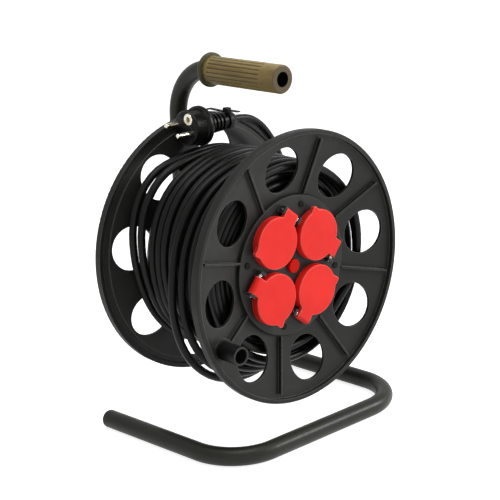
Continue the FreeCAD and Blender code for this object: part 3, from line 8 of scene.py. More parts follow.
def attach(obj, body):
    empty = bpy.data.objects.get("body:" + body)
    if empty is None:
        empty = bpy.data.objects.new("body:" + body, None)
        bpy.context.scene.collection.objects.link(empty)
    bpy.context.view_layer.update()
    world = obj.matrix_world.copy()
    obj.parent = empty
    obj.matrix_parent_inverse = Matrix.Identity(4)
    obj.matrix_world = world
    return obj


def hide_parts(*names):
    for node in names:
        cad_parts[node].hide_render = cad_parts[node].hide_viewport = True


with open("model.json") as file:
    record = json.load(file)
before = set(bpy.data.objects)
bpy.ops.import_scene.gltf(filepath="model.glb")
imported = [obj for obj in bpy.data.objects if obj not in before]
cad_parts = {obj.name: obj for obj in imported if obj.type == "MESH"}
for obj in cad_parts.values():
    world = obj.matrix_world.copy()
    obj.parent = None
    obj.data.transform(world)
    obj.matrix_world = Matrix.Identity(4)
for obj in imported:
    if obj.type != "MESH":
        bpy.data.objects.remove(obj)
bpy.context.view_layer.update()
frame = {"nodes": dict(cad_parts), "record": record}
nodes = frame["nodes"]
mm = 0.001
print("frame loaded:", len(nodes), "nodes")

# The drum's own frame: X right, Y up, Z out of the socket side, all in millimetres
drum = {"axleX": -4.1, "middleY": -7.15, "axleUp": 175.0}


def fromDrum(x, y, z):
    return Vector(((x + drum["axleX"]) * mm, (drum["middleY"] - z) * mm, (y + drum["axleUp"]) * mm))


def fromDrumRound(angle, distance, z):
    turn = math.radians(angle)
    return fromDrum(distance * math.cos(turn), distance * math.sin(turn), z)


# Values that the finishes share. Over each span of a noise one shade or roughness turns into the other.
# The edge span holds the cosines between the rounded and the flat normal, on a flat face and on a sharp edge.
spans = {
    "cloud": (0.35, 0.65), "paint": (0.4, 0.62), "streak": (0.36, 0.64), "dust": (0.58, 0.75),
    "rough": (0.3, 0.7), "edge": (0.995, 0.86),
}


# Materials: every one is built from nodes
def linear(code):
    # A colour code as plain light values
    values = [int(code[i:i + 2], 16) / 255 for i in (1, 3, 5)]
    return tuple(v / 12.92 if v < 0.04045 else ((v + 0.055) / 1.055) ** 2.4 for v in values) + (1.0,)


class Nodes:
    # A short way to add and join the nodes of one material
    def __init__(self, name):
        self.material = bpy.data.materials.new(name)
        self.material.use_nodes = True
        self.tree = self.material.node_tree
        self.shader = self.tree.nodes["Principled BSDF"]
        self.place = self.add("ShaderNodeTexCoord").outputs["Object"]

    def add(self, kind, **settings):
        node = self.tree.nodes.new(kind)
        for key, value in settings.items():
            setattr(node, key, value)
        return node

    def join(self, source, target):
        self.tree.links.new(source, target)

    def noise(self, size, detail=4.0, stretch=None, distortion=0.0):
        texture = self.add("ShaderNodeTexNoise")
        texture.inputs["Scale"].default_value = 1.0 / size
        texture.inputs["Detail"].default_value = detail
        texture.inputs["Distortion"].default_value = distortion
        source = self.place
        if stretch:
            mapping = self.add("ShaderNodeMapping")
            mapping.inputs["Scale"].default_value = stretch
            self.join(source, mapping.inputs["Vector"])
            source = mapping.outputs["Vector"]
        self.join(source, texture.inputs["Vector"])
        return texture.outputs["Fac"]

    def ramp(self, source, low, high, start=0.0, end=1.0):
        box = self.add("ShaderNodeMapRange")
        box.inputs["From Min"].default_value = low
        box.inputs["From Max"].default_value = high
        box.inputs["To Min"].default_value = start
        box.inputs["To Max"].default_value = end
        self.join(source, box.inputs["Value"])
        return box.outputs["Result"]

    def blend(self, share, first, second):
        mix = self.add("ShaderNodeMix", data_type="RGBA")
        self.join(share, mix.inputs["Factor"])
        for socket, value in ((mix.inputs["A"], first), (mix.inputs["B"], second)):
            if isinstance(value, tuple):
                socket.default_value = value
            else:
                self.join(value, socket)
        return mix.outputs["Result"]

    def times(self, first, second):
        box = self.add("ShaderNodeMath", operation="MULTIPLY")
        for socket, value in zip(box.inputs, (first, second)):
            if isinstance(value, float):
                socket.default_value = value
            else:
                self.join(value, socket)
        return box.outputs["Value"]

    def softEdge(self, radius):
        bevel = self.add("ShaderNodeBevel", samples=4)
        bevel.inputs["Radius"].default_value = radius
        return bevel.outputs["Normal"]

    def edgeShare(self, rounded):
        # One on a sharp edge, nothing on a flat face
        flat = self.add("ShaderNodeNewGeometry").outputs["Normal"]
        dot = self.add("ShaderNodeVectorMath", operation="DOT_PRODUCT")
        self.join(rounded, dot.inputs[0])
        self.join(flat, dot.inputs[1])
        return self.ramp(dot.outputs["Value"], *spans["edge"])

    def bump(self, height, depth, under=None):
        node = self.add("ShaderNodeBump")
        node.inputs["Strength"].default_value = 1.0
        node.inputs["Distance"].default_value = depth
        self.join(height, node.inputs["Height"])
        if under is not None:
            self.join(under, node.inputs["Normal"])
        return node.outputs["Normal"]

    def clouded(self, look, span, detail, **settings):
        # The finish's two near shades, blended by a noise
        cloud = self.ramp(self.noise(look["cloud"], detail, **settings), *spans[span])
        return self.blend(cloud, linear(look["colour"]), linear(look["shade"]))

    def roughened(self, source, look, smoother, rougher):
        # Roughness that strays from the finish's own value to both sides
        return self.ramp(source, *spans["rough"], look["roughness"] - smoother, look["roughness"] + rougher)

    def finish(self, colour, roughness, normal):
        self.join(colour, self.shader.inputs["Base Color"])
        self.join(roughness, self.shader.inputs["Roughness"])
        self.join(normal, self.shader.inputs["Normal"])
        return self.material


def moulded(name, look):
    n = Nodes(name)
    n.shader.inputs["Specular IOR Level"].default_value = look["shine"]
    rounded = n.softEdge(look["edge"])
    # Edges are lightened: partly wear, partly a painted highlight along every edge
    edgeWearAndHighlightShare = n.times(n.edgeShare(rounded), look["edgeWearAndHighlightShare"])
    colour = n.blend(edgeWearAndHighlightShare, n.clouded(look, "cloud", detail=3.0), linear(look["worn"]))
    grain = n.noise(look["grain"], detail=2.0)
    scuff = n.noise(look["cloud"] / 3, detail=6.0, distortion=0.6)
    roughness = n.roughened(scuff, look, look["uneven"], look["uneven"])
    return n.finish(colour, roughness, n.bump(grain, look["depth"], rounded))


def paintedSteel(name, look):
    n = Nodes(name)
    n.shader.inputs["Specular IOR Level"].default_value = look["shine"]
    n.shader.inputs["Coat Weight"].default_value = look["coat"]
    n.shader.inputs["Coat Roughness"].default_value = look["coatRoughness"]
    rounded = n.softEdge(look["edge"])
    # Edges are lightened: partly wear, partly a painted highlight along every edge
    edgeWearAndHighlightShare = n.times(n.edgeShare(rounded), look["edgeWearAndHighlightShare"])
    colour = n.blend(edgeWearAndHighlightShare, n.clouded(look, "paint", detail=5.0), linear(look["worn"]))
    peel = n.noise(look["peel"], detail=1.0)
    roughness = n.roughened(n.noise(look["cloud"] / 2, detail=6.0), look, 0.0, look["uneven"])
    return n.finish(colour, roughness, n.bump(peel, look["depth"], rounded))


def metal(name, look):
    n = Nodes(name)
    n.shader.inputs["Metallic"].default_value = 1.0
    rounded = n.softEdge(look["edge"])
    colour = n.clouded(look, "cloud", detail=4.0)
    lines = n.noise(look["line"], detail=3.0, stretch=look["along"])
    roughness = n.roughened(lines, look, look["uneven"], look["uneven"])
    return n.finish(colour, roughness, n.bump(lines, look["depth"], rounded))


def gripFinish(name, look):
    # Distance from the grip's axis and place along it give the painted shade in the flutes and on the collar,
    # the end face, and the painted shade inside the hole
    n = Nodes(name)
    n.shader.inputs["Specular IOR Level"].default_value = look["shine"]
    rounded = n.softEdge(look["edge"])
    fromAxis = n.add("ShaderNodeVectorMath", operation="SUBTRACT")
    n.join(n.place, fromAxis.inputs[0])
    fromAxis.inputs[1].default_value = (look["axisX"] * mm, 0, look["axisUp"] * mm)
    across = n.add("ShaderNodeVectorMath", operation="MULTIPLY")
    n.join(fromAxis.outputs["Vector"], across.inputs[0])
    across.inputs[1].default_value = (1, 0, 1)
    distance = n.add("ShaderNodeVectorMath", operation="LENGTH")
    n.join(across.outputs["Vector"], distance.inputs[0])
    parts = n.add("ShaderNodeSeparateXYZ")
    n.join(n.place, parts.inputs["Vector"])
    # Painted shade: the grooves between the flutes' ridges are darkened
    grooveShade = n.ramp(distance.outputs["Value"], look["ridge"] * mm, look["bottom"] * mm)
    # Painted shade: the collar at the grip's rear end is darkened
    collar = n.ramp(parts.outputs["Y"], look["collarFrom"] * mm, look["collarTo"] * mm)
    faceFrom, faceTo = ((look["front"] + fade) * mm for fade in look["faceFade"])
    endFace = n.ramp(parts.outputs["Y"], faceFrom, faceTo)
    # Painted shade: the inside of the hole is darkened almost to black
    hole = n.ramp(distance.outputs["Value"], (look["hole"] + look["holeFade"]) * mm, look["hole"] * mm)
    colour = n.clouded(look, "streak", detail=5.0, stretch=look["along"], distortion=0.5)
    colour = n.blend(grooveShade, colour, linear(look["groove"]))
    colour = n.blend(collar, colour, linear(look["collar"]))
    colour = n.blend(endFace, colour, linear(look["end"]))
    # Edges are lightened: partly wear, partly a painted highlight along every edge
    colour = n.blend(n.times(n.edgeShare(rounded), look["edgeWearAndHighlightShare"]), colour, linear(look["worn"]))
    colour = n.blend(hole, colour, linear(look["inside"]))
    scuff = n.noise(look["cloud"] / 2, detail=6.0)
    roughness = n.roughened(scuff, look, look["uneven"], look["uneven"])
    grain = n.noise(look["grain"], detail=2.0)
    return n.finish(colour, roughness, n.bump(grain, look["depth"], rounded))


def rubber(name, look):
    n = Nodes(name)
    n.shader.inputs["Specular IOR Level"].default_value = look["shine"]
    n.shader.inputs["Sheen Weight"].default_value = look["sheen"]
    n.shader.inputs["Sheen Roughness"].default_value = look["sheenRoughness"]
    colour = n.clouded(look, "streak", detail=4.0, distortion=0.4)
    dust = n.times(n.ramp(n.noise(look["cloud"] / 8, detail=8.0), *spans["dust"]), look["dust"])
    colour = n.blend(dust, colour, linear(look["dusty"]))
    grain = n.noise(look["grain"], detail=3.0)
    patches = n.noise(look["cloud"] / 2, detail=5.0)
    roughness = n.roughened(patches, look, look["smoother"], look["rougher"])
    return n.finish(colour, roughness, n.bump(grain, look["depth"]))


drumPlastic = {
    "colour": "#212120", "shade": "#1a1a19", "worn": "#7c7c78", "edgeWearAndHighlightShare": 0.6, "edge": 0.0009, "cloud": 0.05,
    "grain": 0.0007, "depth": 0.00014, "roughness": 0.46, "uneven": 0.08, "shine": 0.17,
}
cordRubber = {
    "colour": "#0f0f0e", "shade": "#0a0a09", "dust": 0.2, "dusty": "#302f2b", "cloud": 0.05, "grain": 0.0008,
    "depth": 0.0001, "roughness": 0.33, "smoother": 0.06, "rougher": 0.08, "shine": 0.14, "sheen": 0.01,
    "sheenRoughness": 0.4,
}


def drumLike(name, **changes):
    return moulded(name, dict(drumPlastic, **changes))


finishes = {
    "drum_plastic": moulded("drumPlastic", drumPlastic),
    "plate_plastic": drumLike("platePlastic", colour="#272827", shade="#20211f"),
    "knob_plastic": drumLike("knobPlastic", colour="#111111", shade="#0d0d0d", edge=0.0012),
    "cap_plastic": drumLike("capPlastic", colour="#171814", shade="#131410", roughness=0.5),
    "well_plastic": drumLike("wellPlastic", colour="#121212", shade="#0e0e0e", roughness=0.5),
    "case_plastic": drumLike("casePlastic", colour="#8f8f8a", shade="#85857f", worn="#a5a5a0"),
    "tie_plastic": drumLike("tiePlastic", colour="#0f0f0e", shade="#0b0b0a", worn="#2c2c2a"),
    "wire_insulation": drumLike("wireInsulation", colour="#5a6a3a", shade="#4f5f33", worn="#7a8a5a"),
    "lid_plastic": moulded("lidPlastic", {
        # The bright edge colour at full share is a painted highlight along the lid's rim
        "colour": "#e92922", "shade": "#de231c", "worn": "#ff9486", "edgeWearAndHighlightShare": 1.0, "edge": 0.0014,
        "cloud": 0.03, "grain": 0.0006, "depth": 0.00006, "roughness": 0.42, "uneven": 0.06, "shine": 0.18,
    }),
    "button_plastic": moulded("buttonPlastic", {
        "colour": "#cc1404", "shade": "#bd1103", "worn": "#ee6a56", "edgeWearAndHighlightShare": 0.5, "edge": 0.0005, "cloud": 0.02,
        "grain": 0.0005, "depth": 0.00003, "roughness": 0.4, "uneven": 0.05, "shine": 0.06,
    }),
    "grip_plastic": gripFinish("gripPlastic", {
        "colour": "#9e8a55", "shade": "#7e6a3d", "worn": "#baa875", "edgeWearAndHighlightShare": 0.6, "groove": "#5f4c27",
        "cloud": 0.012, "edge": 0.0009, "grain": 0.0007, "depth": 0.00014, "roughness": 0.4, "uneven": 0.1, "shine": 0.22,
        "axisX": -4.1, "axisUp": 356.0, "ridge": 13.9, "bottom": 13.0, "front": -61.25, "faceFade": (0.6, 0.2),
        "end": "#554932", "collarFrom": 35.0, "collarTo": 37.6, "collar": "#423f26", "hole": 7.35,
        "holeFade": 0.3, "inside": "#0b0a09", "along": (1.0, 0.25, 1.0),
    }),
    "tube_paint": paintedSteel("tubePaint", {
        "colour": "#1f2018", "shade": "#191a12", "worn": "#5a5b4e", "edgeWearAndHighlightShare": 0.3, "edge": 0.0006, "cloud": 0.04,
        "peel": 0.0035, "depth": 0.00016, "roughness": 0.38, "uneven": 0.12, "shine": 0.2, "coat": 0.06,
        "coatRoughness": 0.2,
    }),
    "steel": metal("zincSteel", {
        "colour": "#b9bab8", "shade": "#a3a5a5", "edge": 0.0003, "cloud": 0.006, "line": 0.0009,
        "along": (1.0, 0.15, 1.0), "depth": 0.00001, "roughness": 0.34, "uneven": 0.08,
    }),
    "contact_nickel": metal("nickelPlate", {
        "colour": "#e3dfd2", "shade": "#d2cdbd", "edge": 0.0002, "cloud": 0.004, "line": 0.0006,
        "along": (0.2, 1.0, 1.0), "depth": 0.000006, "roughness": 0.2, "uneven": 0.06,
    }),
    "contact_brass": metal("contactBrass", {
        "colour": "#d9b36a", "shade": "#c39a52", "edge": 0.0002, "cloud": 0.004, "line": 0.0006,
        "along": (1.0, 0.2, 1.0), "depth": 0.000006, "roughness": 0.26, "uneven": 0.06,
    }),
    "cord_rubber": rubber("cordRubber", cordRubber),
    "plug_rubber": rubber("plugRubber", dict(
        cordRubber, colour="#0d0d0b", shade="#080807", dust=0.25, dusty="#2c2b24", cloud=0.02, grain=0.0006,
        roughness=0.3,
    )),
    "seal_rubber": rubber("sealRubber", dict(
        cordRubber, colour="#1d1d1d", shade="#171717", dust=0.1, dusty="#3a3a38", cloud=0.02, grain=0.0005,
        depth=0.00005, roughness=0.6, shine=0.4, sheen=0.05,
    )),
}
# Finishes of single pieces that differ from the rest of their slot; both are darkened as painted shade
ownFinish = {
    # Painted shade: the plate's screws are darkened to stand for the shade in their recesses
    "plate_screws": metal("screwInRecessShade", {
        "colour": "#1c1c1b", "shade": "#0e0e0e", "edge": 0.0003, "cloud": 0.002, "line": 0.0006,
        "along": (1.0, 0.3, 1.0), "depth": 0.00003, "roughness": 0.4, "uneven": 0.1,
    }),
    # Painted shade: the earth clips are dark instead of bright nickel, standing for their shaded recess
    "plug_earth_clips": metal("clipInShade", {
        "colour": "#4c4b45", "shade": "#33322e", "edge": 0.0003, "cloud": 0.003, "line": 0.0006,
        "along": (0.3, 1.0, 1.0), "depth": 0.00002, "roughness": 0.5, "uneven": 0.1,
    }),
}
slotOfNode = {entry["node"]: entry["material_slot"] for entry in frame["record"]["subparts"]}
for name, piece in nodes.items():
    piece.data.materials.clear()
    piece.data.materials.append(ownFinish.get(name, finishes[slotOfNode[name]]))
print("materials given to the packed pieces")


def linked(item):
    bpy.context.scene.collection.objects.link(item)
    return item


def shown(piece, body, slot):
    if piece.name not in bpy.context.scene.collection.objects:
        linked(piece)
    piece.data.materials.clear()
    piece.data.materials.append(finishes[slot])
    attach(piece, body)
    return piece


# Wound cord: one line from the gland, through the inner layers and the loose outer turns, to the plug.
# The lists say how far each outer turn, from the rear flange to the front one, stands off the even winding:
# rise, drop, side and lift away from the axle near their angles, and shift along it.
cord = {
    "radius": 4.0, "length": 25.0, "pointsInTurn": 24, "glandAngle": -3.4, "glandZ": -34.0, "glandMouth": 66.4,
    "firstTurnAngle": -20.0, "outerTurns": 11, "tightRadius": 96.2, "outerEnd": 56.36, "climb": 0.5,
    "looseFromAngle": -70.0, "easeFrom": 0.64, "riseAngle": 137.0, "fadeOfRise": 9, "fadeUnderPlug": 24,
    "dropAngle": 242.0, "fadeOfDrop": 4, "sideAngle": 330.0, "fadeOfSide": 2.0, "liftAngle": 88.0,
    "fadeOfLift": 16, "order": 3, "lineSteps": 3, "roundSteps": 4,
    "rise": [22.5, 21.0, 10.5, 9.5, 10.0, 8.0, 10.0, 5.0, 4.0, 3.0, 2.0],
    "drop": [2.5, 0.0, 0.0, 0.0, 0.0, 1.0, 31.0, 21.0, 11.0, 2.0, -4.0],
    "side": [0.0, 0.0, 0.0, 0.0, 1.0, 2.0, 4.0, 8.0, 11.5, 14.0, 13.5],
    "lift": [6.0, 6.5, 8.0, 8.5, 8.0, 7.0, 5.0, 3.0, 2.0, 1.0, 0.0],
    "shift": [-0.1, 1.6, 1.5, 0.6, -0.7, -0.4, -0.2, -1.5, -0.9, -0.6, -0.3],
}
# Angle and distance from the axle of the run that comes slantwise out through the gland
glandRun = [(-28.0, 60.5), (-16.5, 66.0)]
# Radius, place along the axle at both ends, and turns of each inner layer
innerLayers = [(71.1, -34.0, 48.5, 9.954), (79.4, 50.9, -50.9, 12), (87.7, -52.6, 52.6, 12)]
# Angle, distance from the axle and place along it of the run from the plug back to the first turn
leadRoute = [
    (65.1, 134.4, -47.2),
    (57.5, 131.5, -47.5),
    (45.5, 124.5, -48.5),
    (31.0, 117.0, -50.0),
    (15.5, 110.5, -51.5),
]
lead = {"reliefEnd": (27.5, 127.5, -47.0), "straight": 14.0, "lastRun": 26.0}


def eased(share):
    share = min(max(share, 0.0), 1.0)
    return share * share * (3 - 2 * share)


def looseness(values, turns):
    # Each turn's own value, eased over to the next one's on the right of the drum
    looseFrom = (cord["firstTurnAngle"] - cord["looseFromAngle"]) / 360
    place = max(turns - looseFrom, 0.0)
    turn = min(int(place), len(values) - 1)
    share = eased((place - turn - cord["easeFrom"]) / (1 - cord["easeFrom"]))
    return values[turn] * (1 - share) + values[min(turn + 1, len(values) - 1)] * share


def nearness(angle, other, fade):
    return ((1 + math.cos(angle - math.radians(other))) / 2) ** fade


def outerPlace(turns):
    # Angle, distance from the axle and place along it. The wound solid has no side or lift, and the drop of
    # its last four turns differs.
    angle = math.radians(cord["firstTurnAngle"] - 360 * turns)
    along = cord["outerEnd"] * (2 * turns / cord["outerTurns"] - 1) + looseness(cord["shift"], turns)
    pastRise = math.sin(angle - math.radians(cord["riseAngle"])) < 0
    fade = cord["fadeUnderPlug"] if pastRise else cord["fadeOfRise"]
    distance = cord["tightRadius"] + looseness(cord["rise"], turns) * nearness(angle, cord["riseAngle"], fade)
    distance += looseness(cord["drop"], turns) * nearness(angle, cord["dropAngle"], cord["fadeOfDrop"])
    distance += looseness(cord["side"], turns) * nearness(angle, cord["sideAngle"], cord["fadeOfSide"])
    distance += looseness(cord["lift"], turns) * nearness(angle, cord["liftAngle"], cord["fadeOfLift"])
    return angle, distance, along


def outerPoint(turns):
    angle, distance, along = outerPlace(turns)
    return Vector((distance * math.cos(angle), distance * math.sin(angle), along))


def innerPlaces():
    # Layer after layer. At a flange each climbs to the next, half of the climb before the change of layer
    stops = innerLayers + [(cord["tightRadius"], cord["outerEnd"], 0.0, 0)]
    places = []
    for number, (radius, low, high, turns) in enumerate(innerLayers):
        count = round(turns * cord["pointsInTurn"])
        for step in range(count):
            done = step / cord["pointsInTurn"]
            left = turns - done
            distance = radius
            along = low + (high - low) * done / turns
            if left < cord["climb"] / 2:
                upper = stops[number + 1]
                share = eased(0.5 - left / cord["climb"])
                distance += (upper[0] - radius) * share
                along += (upper[1] - high) * share
            if number > 0 and done < cord["climb"] / 2:
                lower = stops[number - 1]
                share = eased(0.5 - done / cord["climb"])
                distance += (lower[0] - radius) * share
                along += (lower[2] - low) * share
            places.append((distance, along))
    return places


def cordPoints():
    # The curve runs inside its points, so the turns' points stand a little further out
    spread = 1 / math.cos(math.pi / cord["pointsInTurn"])
    points = [fromDrumRound(angle, distance, cord["glandZ"]) for angle, distance in glandRun]
    places = innerPlaces()
    angle = cord["firstTurnAngle"] - len(places) * 360 / cord["pointsInTurn"]
    for distance, along in places:
        points.append(fromDrumRound(angle, distance * spread, along))
        angle += 360 / cord["pointsInTurn"]
    topLayer = innerLayers[-1]
    steps = cord["outerTurns"] * cord["pointsInTurn"]
    for step in range(steps, 0, -1):
        turns = step / cord["pointsInTurn"]
        angle, distance, along = outerPlace(turns)
        share = eased(0.5 + (cord["outerTurns"] - turns) / cord["climb"])
        distance = topLayer[0] + (distance - topLayer[0]) * share
        along = topLayer[2] + (along - topLayer[2]) * share
        points.append(fromDrumRound(math.degrees(angle), distance * spread, along))
    start = outerPoint(0)
    nudge = 1e-4
    heading = (outerPoint(nudge) - outerPoint(-nudge)).normalized()
    leadEnd = start - heading * 2 * cord["radius"]
    points.append(fromDrum(*start))
    points.append(fromDrum(*leadEnd))
    points.append(fromDrum(*(leadEnd - heading * lead["lastRun"])))
    for place in reversed(leadRoute):
        points.append(fromDrumRound(*place))
    x, y, z = lead["reliefEnd"]
    points.append(fromDrum(x + lead["straight"], y, z))
    points.append(fromDrum(x, y, z))
    return points


def cordCurve(name, points):
    curve = bpy.data.curves.new(name, "CURVE")
    curve.dimensions = "3D"
    curve.bevel_depth = cord["radius"] * mm
    curve.bevel_resolution = cord["roundSteps"]
    curve.resolution_u = cord["lineSteps"]
    curve.use_fill_caps = True
    spline = curve.splines.new("NURBS")
    spline.points.add(len(points) - 1)
    for point, place in zip(spline.points, points):
        point.co = (*place, 1.0)
    spline.order_u = cord["order"]
    spline.use_endpoint_u = True
    return bpy.data.objects.new(name, curve)


# Plug: one rubber moulding with its grip ring and ribbed strain relief, and the contact in its face
plug = {
    "face": (-36.5, 127.5, -47.0), "turn": 24.5, "segments": 72,
    # Distance behind the face and radius, up to the first rib
    "outline": [
        (0.0, 15.9), (0.2, 16.8), (0.9, 17.4), (2.6, 17.6), (12.6, 17.9), (14.0, 18.3), (14.7, 19.3),
        (15.8, 20.0), (19.6, 20.0), (20.6, 19.5), (21.0, 18.4), (21.2, 15.4), (22.0, 12.6), (23.4, 11.2),
    ],
    "ribs": 5, "ribStart": 24.0, "ribPitch": 5.1, "ribWide": 3.1, "ribRadius": 10.9, "lastRibRadius": 9.4,
    "ribRound": 0.6, "ribLean": 0.1, "groove": 1.9,
    # The same past the last rib
    "neck": [(49.8, 7.6), (56.6, 7.5), (57.2, 8.3), (60.4, 8.0), (62.2, 6.4), (64.0, 5.4)],
    "notchIn": 16.4, "notchWide": 6.0, "notchLong": 14.0, "notchReach": 6.0,
    "earthUp": 10.0, "earthHole": 4.4, "earthDeep": 18.0, "earthSegments": 48,
    # How far in front of the face the cutters start, and the angle in degrees from which an edge is sharp
    "cutAhead": 1.0, "sharpAngle": 38,
}
# Distance behind the face and radius of the contact's flange and tube
earthContact = {
    "facets": 10, "outline": [(0.05, 6.3), (-0.55, 5.9), (-0.7, 5.2), (-0.35, 2.75), (0.6, 2.4), (18.0, 2.4)],
    "tube": [(18.0, 4.4), (0.05, 4.4)],
}


def plugPoint(across, down, out):
    turn = math.radians(plug["turn"])
    x, y, z = plug["face"]
    y += across * math.sin(turn) - down * math.cos(turn)
    z -= across * math.cos(turn) + down * math.sin(turn)
    return fromDrum(x - out, y, z)


def turned(name, outline, segments, down=0.0, closed=False):
    # An outline of distance behind the plug's face and radius, turned round an axis out of that face
    made = bmesh.new()
    angles = [2 * math.pi * step / segments for step in range(segments)]
    rings = []
    for behind, radius in outline:
        places = [plugPoint(radius * math.cos(a), down + radius * math.sin(a), -behind) for a in angles]
        rings.append([made.verts.new(place) for place in places])
    pairs = list(zip(rings, rings[1:]))
    if closed:
        pairs.append((rings[-1], rings[0]))
    for first, second in pairs:
        for step in range(segments):
            made.faces.new((first[step - 1], first[step], second[step], second[step - 1]))
    if not closed:
        made.faces.new(rings[0])
        made.faces.new(rings[-1])
    bmesh.ops.recalc_face_normals(made, faces=made.faces)
    return asPiece(name, made)


def asPiece(name, made):
    mesh = bpy.data.meshes.new(name)
    made.to_mesh(mesh)
    made.free()
    mesh.shade_smooth()
    mesh.set_sharp_from_angle(angle=math.radians(plug["sharpAngle"]))
    return bpy.data.objects.new(name, mesh)


def slab(name, across, down, out):
    # Block between pairs of places in the plug's own directions
    made = bmesh.new()
    corners = [made.verts.new(plugPoint(a, d, o)) for a in across for d in down for o in out]
    for side in ((0, 1, 3, 2), (4, 6, 7, 5), (0, 4, 5, 1), (2, 3, 7, 6), (0, 2, 6, 4), (1, 5, 7, 3)):
        made.faces.new([corners[i] for i in side])
    bmesh.ops.recalc_face_normals(made, faces=made.faces)
    return asPiece(name, made)


def carved(piece, cutters):
    # The cutters are taken out of the piece and thrown away
    linked(piece)
    for cutter in cutters:
        cut = piece.modifiers.new("cut", "BOOLEAN")
        cut.object = linked(cutter)
    graph = bpy.context.evaluated_depsgraph_get()
    result = bpy.data.meshes.new_from_object(piece.evaluated_get(graph))
    piece.modifiers.clear()
    piece.data = result
    for cutter in cutters:
        bpy.data.objects.remove(cutter)
    return piece


def plugOutline():
    outline = list(plug["outline"])
    for rib in range(plug["ribs"]):
        share = rib / (plug["ribs"] - 1)
        radius = plug["ribRadius"] * (1 - share) + plug["lastRibRadius"] * share
        start = plug["ribStart"] + rib * plug["ribPitch"]
        end = start + plug["ribWide"]
        bottom = radius - plug["groove"]
        shoulder = radius - plug["ribRound"]
        outline += [
            (start, bottom), (start + plug["ribLean"], shoulder), (start + plug["ribRound"], radius),
            (end - plug["ribRound"], radius), (end - plug["ribLean"], shoulder), (end, bottom),
        ]
    return outline + plug["neck"]


def makePlug():
    inside = plug["notchIn"]
    outside = inside + plug["notchReach"]
    half = plug["notchWide"] / 2
    ahead = plug["cutAhead"]
    earthOutline = [(-ahead, plug["earthHole"]), (plug["earthDeep"], plug["earthHole"])]
    cutters = [
        slab("upperNotch", (-half, half), (-outside, -inside), (-plug["notchLong"], ahead)),
        slab("lowerNotch", (-half, half), (inside, outside), (-plug["notchLong"], ahead)),
        turned("earthCut", earthOutline, plug["earthSegments"], -plug["earthUp"]),
    ]
    return carved(turned("plugMoulding", plugOutline(), plug["segments"]), cutters)


plugMoulding = shown(makePlug(), "drum", "plug_rubber")
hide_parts("plug_body", "plug_strain_relief")
contactOutline = earthContact["outline"] + earthContact["tube"]
earthSocket = turned("earthSocket", contactOutline, earthContact["facets"], -plug["earthUp"], True)
shown(earthSocket, "drum", "contact_nickel")
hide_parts("plug_earth_socket")
print("plug made")

pluggedOn = [plugMoulding, earthSocket]
pluggedOn += [nodes[name] for name in ("plug_pins", "plug_earth_clips", "plug_tie", "cord_inlet")]
windingCord = shown(cordCurve("windingCord", cordPoints()), "drum", "cord_rubber")
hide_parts("cord_core", "cord_turns", "plug_lead")
print("cord wound")


# Studio: camera at the photograph's angle, pale floor, soft lamps. The camera's target and distance are in
# millimetres, the floor and the lamps in metres.
studio = {
    "target": (33.36, 32.5, 162.74), "azimuth": -42.38, "elevation": 16.31, "roll": -1.78, "distance": 1406.25,
    "lens": 96.776, "sensor": 36, "surroundings": 0.2, "lampAim": (0, 0, 0.17),
}
floorPaper = {
    "size": 9.0, "colour": "#f6f6f6", "shade": "#f1f1f0", "cloud": 0.4, "roughness": (0.85, 0.9),
    "grain": 0.002, "depth": 0.00002, "glow": 0.84,
}
# Kinds of ray that see the white backdrop
backdropRays = ["Is Camera Ray", "Is Glossy Ray", "Is Transmission Ray"]
lamps = {
    "keyLamp": {"power": 42.0, "size": 0.7, "place": (1.75, -1.45, 1.2)},
    "topLamp": {"power": 22.0, "size": 1.2, "place": (-0.15, -0.5, 2.1)},
    "fillLamp": {"power": 3.0, "size": 1.4, "place": (-1.2, -1.7, 0.7)},
}


def addCamera():
    azimuth = math.radians(studio["azimuth"])
    elevation = math.radians(studio["elevation"])
    roll = math.radians(studio["roll"])
    target = Vector(studio["target"]) * mm
    outwards = Vector((
        math.sin(azimuth) * math.cos(elevation), -math.cos(azimuth) * math.cos(elevation), math.sin(elevation),
    ))
    right = (-outwards).cross(Vector((0, 0, 1))).normalized()
    up = right.cross(-outwards)
    across = right * math.cos(roll) + up * math.sin(roll)
    upwards = up * math.cos(roll) - right * math.sin(roll)
    data = bpy.data.cameras.new("camera")
    data.lens = studio["lens"]
    data.sensor_width = studio["sensor"]
    camera = linked(bpy.data.objects.new("camera", data))
    turn = Matrix((across, upwards, outwards)).transposed().to_4x4()
    camera.matrix_world = Matrix.Translation(target + outwards * studio["distance"] * mm) @ turn
    bpy.context.scene.camera = camera


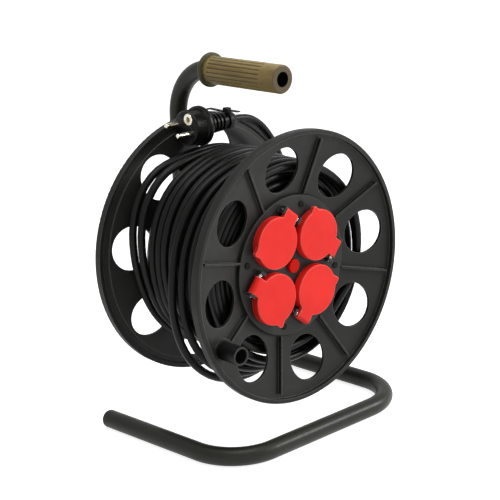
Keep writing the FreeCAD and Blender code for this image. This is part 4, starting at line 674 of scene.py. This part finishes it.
def addLamp(name, look):
    data = bpy.data.lights.new(name, "AREA")
    data.energy = look["power"]
    data.size = look["size"]
    lamp = linked(bpy.data.objects.new(name, data))
    place = Vector(look["place"])
    aim = Vector(studio["lampAim"]) - place
    lamp.matrix_world = Matrix.Translation(place) @ aim.to_track_quat("-Z", "Y").to_matrix().to_4x4()


def seenRays(tree):
    # One for the rays that see the white backdrop, and nothing for the rest
    path = tree.nodes.new("ShaderNodeLightPath")
    total = path.outputs[backdropRays[0]]
    for kind in backdropRays[1:]:
        larger = tree.nodes.new("ShaderNodeMath")
        larger.operation = "MAXIMUM"
        tree.links.new(total, larger.inputs[0])
        tree.links.new(path.outputs[kind], larger.inputs[1])
        total = larger.outputs["Value"]
    return total


def rayStrength(tree, otherwise, seen):
    rays = seenRays(tree)
    strength = tree.nodes.new("ShaderNodeMapRange")
    strength.inputs["To Min"].default_value = otherwise
    strength.inputs["To Max"].default_value = seen
    tree.links.new(rays, strength.inputs["Value"])
    return strength.outputs["Result"]


def addSurroundings():
    world = bpy.data.worlds.new("surroundings")
    bpy.context.scene.world = world
    world.use_nodes = True
    tree = world.node_tree
    background = tree.nodes["Background"]
    background.inputs["Color"].default_value = (1, 1, 1, 1)
    tree.links.new(rayStrength(tree, studio["surroundings"], 1.0), background.inputs["Strength"])


def addFloor():
    mesh = bpy.data.meshes.new("floor")
    half = floorPaper["size"] / 2
    corners = [(-half, -half, 0), (half, -half, 0), (half, half, 0), (-half, half, 0)]
    mesh.from_pydata(corners, [], [(0, 1, 2, 3)])
    floor = linked(bpy.data.objects.new("floor", mesh))
    n = Nodes("floorPaper")
    cloud = n.ramp(n.noise(floorPaper["cloud"], detail=3.0), *spans["rough"])
    colour = n.blend(cloud, linear(floorPaper["colour"]), linear(floorPaper["shade"]))
    n.shader.inputs["Emission Color"].default_value = (1, 1, 1, 1)
    n.join(rayStrength(n.tree, 0.0, floorPaper["glow"]), n.shader.inputs["Emission Strength"])
    roughness = n.ramp(cloud, 0, 1, *floorPaper["roughness"])
    grain = n.bump(n.noise(floorPaper["grain"]), floorPaper["depth"])
    floor.data.materials.append(n.finish(colour, roughness, grain))


addCamera()
addSurroundings()
addFloor()
for name, look in lamps.items():
    addLamp(name, look)
bpy.context.scene.view_settings.view_transform = "Standard"
print("studio set")
